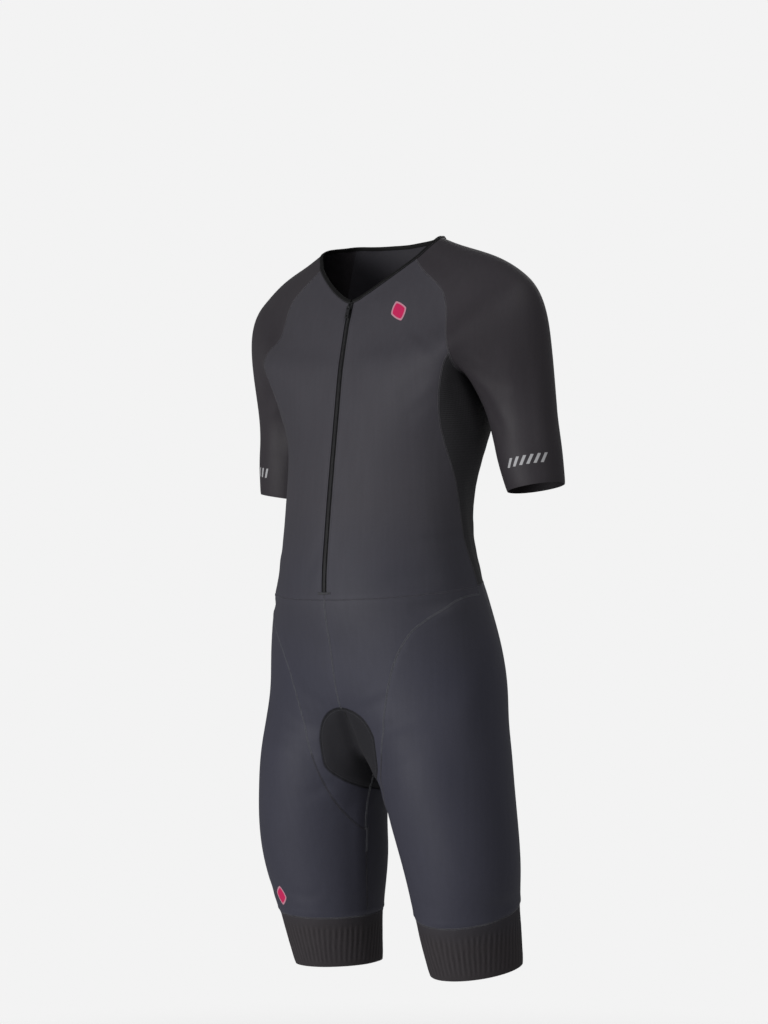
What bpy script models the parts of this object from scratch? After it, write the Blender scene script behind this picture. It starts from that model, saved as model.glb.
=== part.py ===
"""A short-sleeved triathlon suit, held in the form it takes when worn.

Metres, +Z up. The wearer faces -Y, and the wearer's left is +X. The origin lies between
the two points where the neckline crosses the tops of the shoulders.

One smooth form is drawn first: a cage of quads whose Catmull-Clark limit surface passes
through the points of the tables below. Seams divide that form into panels, and each
panel becomes a wall of cloth. All panels share the form's points and normals, so facing
edges stay parallel along every seam.
"""

import math

import bmesh
import bpy
import numpy as np
from mathutils import Matrix, Vector
from mathutils.bvhtree import BVHTree

# Driving dimensions.
CLOTH = 0.0012
PAD_CLOTH = 0.0030
SEAM_GAP = 0.0003
BINDING_WIDTH = 0.0050
BINDING_PROUD = 0.0004
ZIP_HALF_GAP = 0.0045
WAIST_Z = -0.500
CROTCH_Z = -0.732
PAD_HALF_WIDTH = 0.048
PAD_BACK_HALF_WIDTH = 0.062
PAD_WIDE_Y = 0.060
PAD_END_Z = -0.695

# The half ring of the body runs in steps from the centre front to the centre back. The
# front takes the first four, the side panel the next three and the back the last four.
FRONT_STEPS = 4
SIDE_STEPS = 3
BACK_STEPS = 4
BACK_STEP = FRONT_STEPS + SIDE_STEPS
HALF_STEPS = BACK_STEP + BACK_STEPS

# Below the hips the front panel is drawn over this many steps of the leg's outer side and
# of its inner side, and its seams are cut inside them.
LEG_FRONT_STEPS = 3
INSEAM_FRONT_STEPS = 2

# Sections of the body, one row each, from under the arms to the hips. The height is that
# of the centre front, and back_rise is how much higher the centre back lies.
BODY = (
    # z, back_rise, half_width, front_y, back_y, widest_y, squareness, front and back seam_deg
    (-0.255, 0.000, 0.1530, -0.1070, 0.1250, 0.0080, 2.35, 61.0, 119.0),
    (-0.335, 0.000, 0.1435, -0.1175, 0.1080, -0.0080, 2.00, 81.0, 121.0),
    (-0.415, 0.010, 0.1440, -0.1270, 0.0980, -0.0135, 2.00, 92.0, 124.0),
    (WAIST_Z, 0.034, 0.1585, -0.1315, 0.1020, -0.0095, 2.05, 98.0, 128.0),
    (-0.567, 0.014, 0.1770, -0.1175, 0.1190, 0.0000, 2.15, 89.0, 132.0),
    (-0.633, 0.000, 0.1840, -0.1020, 0.1280, 0.0000, 2.30, 77.0, 132.0),
)

# The row at the armholes' lowest points, on the wearer's left, from centre front to back.
ARMPIT_ROW = (
    # x, y, z
    (0.0000, -0.0980, -0.190),
    (0.0460, -0.0975, -0.188),
    (0.0900, -0.0930, -0.184),
    (0.1300, -0.0840, -0.177),
    (0.1630, -0.0680, -0.170),
    (0.1560, -0.0230, -0.193),
    (0.1510, 0.0340, -0.202),
    (0.1580, 0.0800, -0.185),
    (0.1280, 0.1030, -0.187),
    (0.0860, 0.1130, -0.190),
    (0.0430, 0.1150, -0.190),
    (0.0000, 0.1140, -0.190),
)

# Upright lines of the upper body, from the armpit row up to the neckline.
CENTRE_FRONT = (
    # x, y, z
    (0.000, -0.0980, -0.190),
    (0.000, -0.0930, -0.163),
    (0.000, -0.0870, -0.136),
    (0.000, -0.0800, -0.110),
    (0.000, -0.0720, -0.085),
)
FRONT_RAGLAN = (
    # x, y, z
    (0.1630, -0.0680, -0.170),
    (0.1480, -0.0540, -0.129),
    (0.1370, -0.0450, -0.085),
    (0.1090, -0.0450, -0.056),
    (0.0815, -0.0360, -0.029),
)
SHOULDER_LINE = (
    # x, y, z
    (0.2510, 0.0210, -0.110),
    (0.2245, 0.0160, -0.0575),
    (0.1850, 0.0120, -0.0325),
    (0.1400, 0.0040, -0.0155),
    (0.0990, -0.0080, 0.000),
)
BACK_RAGLAN = (
    # x, y, z
    (0.1580, 0.0800, -0.185),
    (0.1470, 0.0830, -0.133),
    (0.1290, 0.0730, -0.083),
    (0.1050, 0.0550, -0.037),
    (0.0780, 0.0360, 0.010),
)
CENTRE_BACK = (
    # x, y, z
    (0.000, 0.1140, -0.190),
    (0.000, 0.1060, -0.140),
    (0.000, 0.0940, -0.090),
    (0.000, 0.0780, -0.040),
    (0.000, 0.0580, 0.008),
)

# The neckline, from the foot of its V round to the centre back.
NECK_FRONT = (
    # x, y, z
    (0.0000, -0.0720, -0.085),
    (0.0180, -0.0690, -0.078),
    (0.0380, -0.0620, -0.065),
    (0.0610, -0.0500, -0.047),
    (0.0815, -0.0360, -0.029),
)
NECK_SHOULDER = (
    # x, y, z
    (0.0815, -0.0360, -0.029),
    (0.0990, -0.0080, 0.000),
    (0.0780, 0.0360, 0.010),
)
NECK_BACK = (
    # x, y, z
    (0.0780, 0.0360, 0.010),
    (0.0420, 0.0530, 0.009),
    (0.0000, 0.0580, 0.008),
)

# The armhole over the arm, from its front point to its back point.
ARMHOLE = (
    # x, y, z
    (0.1630, -0.0680, -0.170),
    (0.1930, -0.0480, -0.148),
    (0.2290, -0.0220, -0.124),
    (0.2510, 0.0210, -0.110),
    (0.2360, 0.0600, -0.128),
    (0.1990, 0.0780, -0.158),
    (0.1580, 0.0800, -0.185),
)

# Sections across the sleeve, square to the arm, down to its hem.
SLEEVE = (
    # centre_x, centre_y, centre_z, radius
    (0.2050, 0.0400, -0.235, 0.0485),
    (0.2140, 0.0465, -0.295, 0.0445),
    (0.2227, 0.0512, -0.3475, 0.0395),
)
SLEEVE_LEAN = (0.167, 0.0)
ARM_STEPS = 6
SLEEVE_FRONT_DEG = 55.0
SLEEVE_BACK_DEG = 305.0

# Sections of the thigh below the crotch. Each is oval: a little longer from its outer front to
# its inner back.
THIGH = (
    # z, centre_x, centre_y, radius, oval, lean_x, lean_y
    (-0.7700, 0.1104, 0.0035, 0.0922, 0.017, 0.0, 0.00),
    (-0.8570, 0.1201, 0.0172, 0.0853, 0.056, 0.0, 0.05),
)
LONG_WAY_DEG = 142.0

# The seam and the hem of each cuff, by side, since the two legs stand a little differently.
CUFF = {
    # z, centre_x, centre_y, radius, oval, lean_x, lean_y
    1: (
        (-0.9227, 0.1224, 0.0289, 0.0725, 0.0, -0.007, 0.248),
        (-1.0050, 0.1258, 0.0451, 0.0643, 0.0, 0.073, 0.137),
    ),
    -1: (
        (-0.9446, 0.1229, 0.0348, 0.0748, 0.0, 0.008, 0.038),
        (-1.0195, 0.1209, 0.0497, 0.0632, 0.0, -0.046, 0.014),
    ),
}
CUFF_ROW = 3
LEG_FRONT_DEG = 42.0
LEG_BACK_DEG = 320.0
LEG_INNER_DEG = (342.0, 368.0, 384.0)

# The level where the legs part. Its ends and the saddle's points lie on the centre plane.
PARTING_Z = -0.700
PARTING_CENTRE = (0.0995, 0.0010)
PARTING_RADIUS = 0.0950
PARTING_FRONT_Y = -0.064
PARTING_BACK_Y = 0.090
SADDLE = (
    # y, z
    (0.054, -0.723),
    (0.006, CROTCH_Z),
    (-0.034, -0.722),
)

# The seam down the front of the thigh: how far it lies from the centre plane.
THIGH_SEAM = (
    # z, x
    (-0.460, 0.1800),
    (-0.486, 0.1640),
    (-0.497, 0.1580),
    (-0.511, 0.1500),
    (-0.526, 0.1350),
    (-0.541, 0.1200),
    (-0.562, 0.1060),
    (-0.581, 0.0960),
    (-0.607, 0.0860),
    (-0.650, 0.0740),
    (-0.700, 0.0640),
    (-0.750, 0.0520),
    (-0.800, 0.0380),
    (-0.840, 0.0200),
    (-0.860, 0.0000),
)

# How seams are cut into the form. A cut that would pass this near a corner, as a share
# of the edge, moves the corner instead. A pulled-in corner moves no further than an edge
# divided by the sharpest corner. Faces this near the pad's outline are made finer.
SNAP_SHARE = 0.12
SHARPEST_CORNER = 0.4
NEAR_PAD = 0.016
CLEAR_OF_THIGH_SEAM = 0.004
NECK_BOTTOM_Z = -0.12
NEAR_NECK = 0.08
FIT_ROUNDS = 8

# How finely curves are read and corners are merged, and which edges count as sharp.
CURVE_STEPS = 24
CAGE_MERGE = 1e-5
PLATE_MERGE = 1e-6
SHARP_EDGE_DEG = 40
PLATE_EDGE_DEG = 30

PANELS = (
    "front_left", "front_right", "side_left", "side_right", "back",
    "sleeve_left", "sleeve_right", "shorts_front_left", "shorts_front_right",
    "leg_left", "leg_right", "leg_cuff_left", "leg_cuff_right",
    "saddle_pad", "neck_binding", "zip_opening", "below_zip",
)

# Zip sizes. The zip's own axes run across it, down it and outward from its centre line.
ZIP_TOP_Z = -0.0905
ZIP_BOTTOM_Z = -0.4890
ZIP_FOOT_Z = -0.4915
BESIDE_CENTRE = 0.0005
TAPE_OUTER_X = 0.0105
TAPE_THICK = 0.0010
TAPE_PLAY = 0.0002
ZIP_ROWS = 20
COIL_HALF_WIDTH = 0.0021
COIL_FRONT = 0.0004
SLIDER_LENGTH = 0.0100
SLIDER_HALF_WIDTH = 0.0038
SLIDER_FRONT = 0.0024
SLIDER_BEVEL = 0.0007
SLIDER_GAP = 0.0006
BRIDGE_HALF_WIDTH = 0.0009
BRIDGE_DOWN = (0.0012, 0.0026, 0.0076, 0.0090)
BRIDGE_OUT = (0.0016, 0.0041, 0.0052)
PULL_ACROSS = (-0.0030, -0.0013, 0.0013, 0.0030)
PULL_DOWN = (0.0045, 0.0055, 0.0105, 0.0240)
PULL_OUT = (0.0027, 0.0037)
PULL_BEVEL = 0.0002
TAPE_BELOW = 0.0040
TACK_BELOW = 0.0020
TACK_HALF_WIDTH = 0.0110
TACK_HEIGHT = 0.0030
TACK_THICK = 0.0008
TACK_BEVEL = 0.0003


def column(table, number):
    """One named column of a table, as an array."""
    return np.array([row[number] for row in table])


def spread(points, steps):
    """Points at equal steps along a smooth curve through the given ones."""
    points = np.array(points)
    ends = np.vstack([2 * points[0] - points[1], points, 2 * points[-1] - points[-2]])
    fine = []
    for before, start, end, after in zip(ends, ends[1:], ends[2:], ends[3:]):
        for t in np.linspace(0, 1, CURVE_STEPS, endpoint=False):
            pull_out = (end - before) * (t - 2 * t**2 + t**3) / 2
            pull_in = (after - start) * (t**3 - t**2) / 2
            blend = t * t * (3 - 2 * t)
            fine.append(start * (1 - blend) + end * blend + pull_out + pull_in)
    fine = np.array(fine + [points[-1]])
    walked = np.append(0, np.cumsum(np.linalg.norm(np.diff(fine, axis=0), axis=1)))
    wanted = np.linspace(0, walked[-1], steps + 1)
    return np.stack([np.interp(wanted, walked, fine[:, i]) for i in range(3)], axis=1)


def between(lower, upper, start, end):
    """A grid of points spanning four edges: two rows, and the columns that join them."""
    lower, upper, start, end = map(np.array, (lower, upper, start, end))
    up = np.linspace(0, 1, len(start))[:, None, None]
    along = np.linspace(0, 1, len(lower))[None, :, None]
    rows = (1 - up) * lower[None] + up * upper[None]
    columns = (1 - along) * start[:, None] + along * end[:, None]
    corners = (1 - up) * ((1 - along) * lower[0] + along * lower[-1])
    corners = corners + up * ((1 - along) * upper[0] + along * upper[-1])
    return rows + columns - corners


def body_row(z, rise, half_width, front_y, back_y, widest_y, squareness, *seams):
    """The half section of the body at one level, from centre front to centre back."""
    degrees = np.interp(
        np.arange(HALF_STEPS + 1),
        (0, FRONT_STEPS, BACK_STEP, HALF_STEPS),
        (0.0, *seams, 180.0),
    )
    turn = np.radians(degrees)
    across = np.abs(np.sin(turn)) ** (2 / squareness)
    along = np.abs(np.cos(turn)) ** (2 / squareness)
    depth = np.where(degrees < 90, front_y - widest_y, back_y - widest_y)
    x = half_width * across
    x[[0, -1]] = 0
    heights = z + rise * (1 - np.cos(turn)) / 2
    return np.stack([x, widest_y + depth * along, heights], axis=1)


def ring(centre, radius, degrees, lean=(0.0, 0.0), oval=0.0):
    """Points round a limb. Zero degrees faces the body, and 90 faces the front."""
    turn = np.radians(degrees)
    reach = radius * (1 + oval * np.cos(2 * (turn - math.radians(LONG_WAY_DEG))))
    x = -np.cos(turn) * reach
    y = -np.sin(turn) * reach
    return np.array(centre) + np.stack([x, y, lean[0] * x + lean[1] * y], axis=1)


def armpit_under():
    """The armhole under the arm, from the back point to the front point."""
    return np.array(ARMPIT_ROW[BACK_STEP:FRONT_STEPS - 1:-1])


def sleeve_rings():
    """Closed rings of the sleeve, from the armhole to the hem."""
    over = np.linspace(SLEEVE_FRONT_DEG, SLEEVE_BACK_DEG, ARM_STEPS + 1)
    under = np.linspace(SLEEVE_BACK_DEG, SLEEVE_FRONT_DEG + 360, SIDE_STEPS + 1)
    degrees = np.append(over, under[1:])
    rings = [np.vstack([ARMHOLE, armpit_under()[1:]])]
    for x, y, z, radius in SLEEVE:
        rings.append(ring((x, y, z), radius, degrees, SLEEVE_LEAN))
    return np.array(rings)


def parting_row():
    """The half ring where the legs part, from centre front to centre back."""
    degrees = np.linspace(LEG_FRONT_DEG, LEG_BACK_DEG, HALF_STEPS + 1)
    row = ring((*PARTING_CENTRE, PARTING_Z), PARTING_RADIUS, degrees)
    row[0] = (0, PARTING_FRONT_Y, PARTING_Z)
    row[-1] = (0, PARTING_BACK_Y, PARTING_Z)
    return row


def leg_rings(side):
    """Closed rings of one side's leg, from the crotch to the hem."""
    outer = np.linspace(LEG_FRONT_DEG, LEG_BACK_DEG, HALF_STEPS + 1)
    degrees = np.concatenate([outer, LEG_INNER_DEG, [LEG_FRONT_DEG + 360]])
    saddle = [(0, y, z) for y, z in SADDLE]
    first = parting_row()
    rings = [np.vstack([first, saddle, first[:1]])]
    for z, x, y, radius, oval, *lean in THIGH + CUFF[side]:
        rings.append(ring((x, y, z), radius, degrees, lean, oval))
    return np.array(rings)


def patches(side):
    """Every patch of one half as (grid of points on the left, panel of each step along it)."""
    half_arm = ARM_STEPS // 2
    shoulder_neck = spread(NECK_SHOULDER, ARM_STEPS)
    back_neck = spread(NECK_BACK, BACK_STEPS)
    body_panels = ["front"] * FRONT_STEPS + ["side"] * SIDE_STEPS + ["back"] * BACK_STEPS
    body = np.array([ARMPIT_ROW] + [body_row(*row) for row in BODY[:4]])
    hips = np.array([body_row(*row) for row in BODY[3:]] + [parting_row()])
    legs = leg_rings(side)
    hip_panels = ["shorts_front"] * FRONT_STEPS + ["leg"] * (HALF_STEPS - FRONT_STEPS)
    leg_front = ["shorts_front"] * LEG_FRONT_STEPS
    inseam_front = ["shorts_front"] * INSEAM_FRONT_STEPS
    leg_steps = legs.shape[1] - 1
    leg_back = ["leg"] * (leg_steps - LEG_FRONT_STEPS - INSEAM_FRONT_STEPS)
    return (
        (between(ARMPIT_ROW[:FRONT_STEPS + 1], NECK_FRONT,
                 CENTRE_FRONT, FRONT_RAGLAN), ["front"] * FRONT_STEPS),
        (between(ARMHOLE[:half_arm + 1], shoulder_neck[:half_arm + 1],
                 FRONT_RAGLAN, SHOULDER_LINE), ["sleeve"] * half_arm),
        (between(ARMHOLE[half_arm:], shoulder_neck[half_arm:],
                 SHOULDER_LINE, BACK_RAGLAN), ["sleeve"] * half_arm),
        (between(ARMPIT_ROW[BACK_STEP:], back_neck,
                 BACK_RAGLAN, CENTRE_BACK), ["back"] * BACK_STEPS),
        (body[::-1], body_panels),
        (sleeve_rings()[::-1], ["sleeve"] * (ARM_STEPS + SIDE_STEPS)),
        (hips[::-1], hip_panels),
        (legs[:CUFF_ROW + 1][::-1], leg_front + leg_back + inseam_front),
        (legs[CUFF_ROW:][::-1], ["leg_cuff"] * leg_steps),
    )


def panel_number(name, side):
    """A panel's number: the one of its side, or the shared one."""
    sided = name + ("_left" if side > 0 else "_right")
    return PANELS.index(sided if sided in PANELS else name)


def cage():
    """The suit's cage as a bmesh, its quads numbered by panel in their material index."""
    mesh = bmesh.new()
    for side in (1, -1):
        for grid, panels in patches(side):
            points = grid * (side, 1, 1)
            rows = [[mesh.verts.new(point) for point in row] for row in points]
            for low, high in zip(rows, rows[1:]):
                for step, panel in enumerate(panels):
                    corners = [low[step], low[step + 1], high[step + 1], high[step]]
                    face = mesh.faces.new(corners[::side])
                    face.material_index = panel_number(panel, side)
    bmesh.ops.remove_doubles(mesh, verts=mesh.verts, dist=CAGE_MERGE)
    return mesh


def smooth_form(levels):
    """The limit surface through the cage's own points, as a bmesh."""
    drawn = cage()
    data = bpy.data.meshes.new("cage")
    drawn.to_mesh(data)
    drawn.free()
    guide = bpy.data.objects.new("cage", data)
    bpy.context.scene.collection.objects.link(guide)
    smoothing = guide.modifiers.new("smooth", "SUBSURF")
    smoothing.levels = smoothing.render_levels = 1
    wanted = coordinates(data)
    for _ in range(FIT_ROUNDS):
        passed = coordinates(evaluated_mesh(guide))[:len(wanted)]
        data.vertices.foreach_set("co", (coordinates(data) + wanted - passed).ravel())
        data.update()
    smoothing.levels = smoothing.render_levels = levels
    form = bmesh.new()
    form.from_mesh(evaluated_mesh(guide))
    bpy.data.objects.remove(guide)
    return form


def coordinates(data):
    """A mesh's points as an array."""
    flat = np.empty(len(data.vertices) * 3, np.float32)
    data.vertices.foreach_get("co", flat)
    return flat.reshape(-1, 3).astype(float)


def evaluated_mesh(thing):
    """The object's mesh with its modifiers applied."""
    graph = bpy.context.evaluated_depsgraph_get()
    graph.update()
    return thing.evaluated_get(graph).to_mesh()


def cut(form, panels, margin, inside):
    """Cuts the named panels where margin is zero, and relabels what lies below it."""
    numbers = {PANELS.index(name) for name in panels}
    faces = [face for face in form.faces if face.material_index in numbers]
    value = {vert: margin(vert.co) for face in faces for vert in face.verts}
    edges = list(dict.fromkeys(edge for face in faces for edge in face.edges))
    line = []
    for edge in edges:
        start, end = edge.verts
        if value[start] * value[end] >= 0:
            continue
        share = value[start] / (value[start] - value[end])
        if not SNAP_SHARE < share < 1 - SNAP_SHARE:
            near = start if share < 0.5 else end
            near.co = start.co.lerp(end.co, share)
            value[near] = 0.0
            line.append(near)
    for edge in edges:
        start, end = edge.verts
        if value[start] * value[end] < 0:
            share = value[start] / (value[start] - value[end])
            fresh = bmesh.utils.edge_split(edge, start, share)[1]
            value[fresh] = 0.0
            line.append(fresh)
    bmesh.ops.connect_verts(form, verts=list(dict.fromkeys(line)))
    for face in form.faces:
        if face.material_index in numbers and margin(face.calc_center_median()) < 0:
            side = 1 if face.calc_center_median().x > 0 else -1
            face.material_index = panel_number(inside, side)


def thigh_margin(point):
    """Below zero towards the centre from the seam down the front of the thigh."""
    heights = column(THIGH_SEAM, 0)[::-1]
    seam_x = np.interp(point.z, heights, column(THIGH_SEAM, 1)[::-1])
    return abs(point.x) - float(seam_x)


def pad_margin(point):
    """Below zero inside the saddle pad, a long oval that runs under the crotch."""
    across = abs(point.x) + max(0.0, CROTCH_Z - point.z)
    along = max(0.0, point.z - PAD_END_Z)
    back = min(1.0, max(0.0, point.y / PAD_WIDE_Y))
    half_width = PAD_HALF_WIDTH + back * (PAD_BACK_HALF_WIDTH - PAD_HALF_WIDTH)
    return math.hypot(across, along) - half_width


def zip_margin(point):
    """Below zero within the slot that shows the zip."""
    return abs(point.x) - ZIP_HALF_GAP


def cut_zip(form, fronts):
    """Cuts the zip's slot between the fronts, from the neckline down to its foot."""
    cut(form, fronts, lambda point: point.z - ZIP_FOOT_Z, "below_zip")
    cut(form, fronts, zip_margin, "zip_opening")
    for face in form.faces:
        if face.material_index == PANELS.index("below_zip"):
            side = 1 if face.calc_center_median().x > 0 else -1
            face.material_index = panel_number("front", side)


def neck_line(form):
    """The neckline as (start, end) pairs of points."""
    return [
        (edge.verts[0].co.copy(), edge.verts[1].co.copy())
        for edge in form.edges
        if edge.is_boundary and edge.verts[0].co.z > NECK_BOTTOM_Z
    ]


def neck_margin_of(form):
    """A margin that is below zero within the binding's width of the neckline."""
    pairs = neck_line(form)

    def margin(point):
        nearest = 1.0
        for start, end in pairs:
            if (start - point).length > NEAR_NECK:
                continue
            along = end - start
            share = min(1.0, max(0.0, (point - start).dot(along) / along.length_squared))
            nearest = min(nearest, (start + along * share - point).length)
        return nearest - BINDING_WIDTH

    return margin


def refine_near_pad(form):
    """Splits the faces that the pad's outline crosses, so that its curve stays round."""
    near = [
        face for face in form.faces
        if face.material_index != PANELS.index("back")
        and abs(pad_margin(face.calc_center_median())) < NEAR_PAD
    ]
    edges = list({edge for face in near for edge in face.edges})
    bmesh.ops.subdivide_edges(form, edges=edges, cuts=1, use_grid_fill=True)


def seamed_form(levels):
    """The suit's form, cut along every seam, with each face numbered by its panel."""
    form = smooth_form(levels)
    refine_near_pad(form)
    fronts = ("front_left", "front_right")
    shorts = ("shorts_front_left", "shorts_front_right")
    legs = ("leg_left", "leg_right")
    relabel_outer_thighs(form, shorts)
    cut(form, shorts, lambda point: -thigh_margin(point), "leg")
    cut(form, shorts + legs, pad_margin, "saddle_pad")
    cut_zip(form, fronts)
    sleeves = ("sleeve_left", "sleeve_right")
    cut(form, fronts + sleeves + ("back",), neck_margin_of(form), "neck_binding")
    # Both faces of a wall then share their diagonals, which keeps it even in thickness.
    bmesh.ops.triangulate(form, faces=form.faces[:], quad_method="SHORT_EDGE")
    form.normal_update()
    form.verts.index_update()
    return form


def relabel_outer_thighs(form, shorts):
    """Faces that lie wholly outside the thigh seam go to the legs before the cut."""
    numbers = {PANELS.index(name) for name in shorts}
    for face in form.faces:
        if face.material_index not in numbers:
            continue
        if all(thigh_margin(vert.co) > CLEAR_OF_THIGH_SEAM for vert in face.verts):
            side = 1 if face.calc_center_median().x > 0 else -1
            face.material_index = panel_number("leg", side)


def edge_pulls(faces):
    """For each border point, how it moves into its panel for one unit of seam allowance."""
    pulls = {}
    chosen = set(faces)
    borders = []
    for face in faces:
        for loop in face.loops:
            if any(other in chosen for other in loop.edge.link_faces if other is not face):
                continue
            start, end = loop.vert, loop.link_loop_next.vert
            inward = face.normal.cross(end.co - start.co).normalized()
            borders.append((start, end))
            pulls.setdefault(start, []).append(inward)
            pulls.setdefault(end, []).append(inward)
    for vert, inwards in pulls.items():
        total = sum(inwards, Vector())
        agreement = max(SHARPEST_CORNER, total.length_squared / len(inwards))
        pulls[vert] = total / agreement
    return borders, pulls


def wall(name, form, proud=0.0, thick=CLOTH):
    """One panel as a wall of cloth, its outer face on the form or a little proud of it."""
    number = PANELS.index(name)
    faces = [face for face in form.faces if face.material_index == number]
    borders, pulls = edge_pulls(faces)
    solid = bmesh.new()
    outer, inner = {}, {}
    for vert in dict.fromkeys(vert for face in faces for vert in face.verts):
        place = vert.co + pulls.get(vert, Vector()) * (SEAM_GAP / 2)
        outer[vert] = solid.verts.new(place + vert.normal * proud)
        inner[vert] = solid.verts.new(place + vert.normal * (proud - thick))
    for face in faces:
        solid.faces.new([outer[vert] for vert in face.verts])
        solid.faces.new([inner[vert] for vert in reversed(face.verts)])
    for start, end in borders:
        # Facing rims are split along the same diagonal, so that twisted ones stay apart.
        if start.index < end.index:
            solid.faces.new((outer[end], outer[start], inner[end]))
            solid.faces.new((outer[start], inner[start], inner[end]))
        else:
            solid.faces.new((outer[end], outer[start], inner[start]))
            solid.faces.new((outer[end], inner[start], inner[end]))
    return finished(name, solid)


def finished(name, solid):
    """A bmesh as an object of that name, its faces smooth but for sharp edges."""
    bmesh.ops.triangulate(solid, faces=[face for face in solid.faces if len(face.verts) > 4])
    data = bpy.data.meshes.new(name)
    solid.to_mesh(data)
    solid.free()
    data.shade_smooth()
    data.set_sharp_from_angle(angle=math.radians(SHARP_EDGE_DEG))
    made = bpy.data.objects.new(name, data)
    bpy.context.scene.collection.objects.link(made)
    return made


def finish(name, colour, roughness):
    """A plain Principled material."""
    material = bpy.data.materials.new(name)
    material.use_nodes = True
    surface = material.node_tree.nodes["Principled BSDF"]
    surface.inputs["Base Color"].default_value = (*colour, 1)
    surface.inputs["Roughness"].default_value = roughness
    return material


def on_front(tree, x, z):
    """The form's point and outward normal on the front, at one place across and up."""
    place, normal, _, _ = tree.ray_cast(Vector((x, -1, z)), Vector((0, 1, 0)))
    return place, normal


def centre_frame(tree, z):
    """The form's point and outward normal on the centre front at one height."""
    place, normal = on_front(tree, BESIDE_CENTRE, z)
    normal.x = 0
    place.x = 0
    return place, normal.normalized()


def zip_strip(name, tree, across, front, thick, top_z, bottom_z):
    """A strip along the centre front, following the form at the given places across."""
    solid = bmesh.new()
    rows = []
    for z in np.linspace(top_z, bottom_z, ZIP_ROWS):
        outer, inner = [], []
        for x in across:
            place, normal = on_front(tree, x, z)
            normal.x *= abs(x) > COIL_HALF_WIDTH
            outer.append(solid.verts.new(place + normal * front))
            inner.append(solid.verts.new(place + normal * (front - thick)))
        rows.append(outer + inner[::-1])
    count = len(rows[0])
    for high, low in zip(rows, rows[1:]):
        for this in range(count):
            following = (this + 1) % count
            solid.faces.new((high[this], low[this], low[following], high[following]))
    solid.faces.new(rows[0])
    solid.faces.new(rows[-1][::-1])
    bmesh.ops.recalc_face_normals(solid, faces=solid.faces)
    return finished(name, solid)


def block(name, frame, low, high, bevel=0.0):
    """A block in a zip frame, from its low to its high corner: across, down, outward."""
    solid = bmesh.new()
    middle = [(a + b) / 2 for a, b in zip(low, high)]
    size = [b - a for a, b in zip(low, high)]
    fit = Matrix.Translation(middle) @ Matrix.Diagonal((*size, 1))
    bmesh.ops.create_cube(solid, size=1, matrix=frame @ fit)
    if bevel:
        bmesh.ops.bevel(
            solid, geom=solid.edges, offset=bevel, segments=2, profile=0.5, affect="EDGES"
        )
    bmesh.ops.recalc_face_normals(solid, faces=solid.faces)
    return finished(name, solid)


def united(first, other):
    """Two overlapping pieces as one solid, which keeps the first one's name."""
    union = first.modifiers.new("join", "BOOLEAN")
    union.operation = "UNION"
    union.object = other
    graph = bpy.context.evaluated_depsgraph_get()
    first_data = bpy.data.meshes.new_from_object(first.evaluated_get(graph))
    first.modifiers.clear()
    first.data = first_data
    bpy.data.objects.remove(other)
    return first


def zip_frame(tree, z):
    """Across, down the zip and outward, as a matrix at one height of the centre front."""
    place, normal = centre_frame(tree, z)
    across = Vector((1, 0, 0))
    down = across.cross(normal)
    if down.z > 0:
        down = -down
    turn = Matrix((across, down, normal)).transposed().to_4x4()
    return Matrix.Translation(place) @ turn


def make_zip(tree):
    """The zip: two tapes, its coil, slider, pull tab and the tack at its foot."""
    behind = -(CLOTH + SEAM_GAP)
    coil_top = ZIP_TOP_Z - SLIDER_LENGTH - SLIDER_GAP
    tape_across = np.array((SEAM_GAP / 2, ZIP_HALF_GAP, TAPE_OUTER_X))
    for name, side in (("zip_tape_left", 1), ("zip_tape_right", -1)):
        zip_strip(name, tree, tape_across * side, behind - TAPE_PLAY, TAPE_THICK,
                  ZIP_TOP_Z, ZIP_BOTTOM_Z - TAPE_BELOW)
    zip_strip("zip_coil", tree, (-COIL_HALF_WIDTH, COIL_HALF_WIDTH), COIL_FRONT,
              COIL_FRONT - behind - SEAM_GAP, coil_top, ZIP_BOTTOM_Z)
    frame = zip_frame(tree, ZIP_TOP_Z)
    half = SLIDER_HALF_WIDTH
    body = block("zip_slider", frame, (-half, 0, behind + SEAM_GAP),
                 (half, SLIDER_LENGTH, SLIDER_FRONT), SLIDER_BEVEL)
    united(body, make_bridge(frame))
    make_pull(frame)
    foot = zip_frame(tree, ZIP_BOTTOM_Z - TACK_BELOW)
    lift = COIL_FRONT + SEAM_GAP
    block("zip_end_tack", foot, (-TACK_HALF_WIDTH, -TACK_HEIGHT / 2, lift),
          (TACK_HALF_WIDTH, TACK_HEIGHT / 2, lift + TACK_THICK), TACK_BEVEL)


def plate(name, frame, outline, low, high, bevel=0.0):
    """A flat outline in the zip frame's first two axes, thickened along the third."""
    solid = bmesh.new()
    for corners in outline:
        verts = [solid.verts.new((*corner, low)) for corner in corners]
        solid.faces.new(verts)
    bmesh.ops.remove_doubles(solid, verts=solid.verts, dist=PLATE_MERGE)
    raised = bmesh.ops.extrude_face_region(solid, geom=solid.faces)
    moved = [item for item in raised["geom"] if isinstance(item, bmesh.types.BMVert)]
    bmesh.ops.translate(solid, verts=moved, vec=(0, 0, high - low))
    solid.transform(frame)
    bmesh.ops.recalc_face_normals(solid, faces=solid.faces)
    if bevel:
        sharp = math.radians(PLATE_EDGE_DEG)
        corners = [edge for edge in solid.edges if edge.calc_face_angle() > sharp]
        bmesh.ops.bevel(solid, geom=corners, offset=bevel, segments=1, affect="EDGES")
    return finished(name, solid)


def cells(columns, rows, holes=()):
    """Rectangles between the given columns and rows, without those listed as holes."""
    return [
        ((left, low), (right, low), (right, high), (left, high))
        for i, (left, right) in enumerate(zip(columns, columns[1:]))
        for j, (low, high) in enumerate(zip(rows, rows[1:]))
        if (i, j) not in holes
    ]


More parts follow.
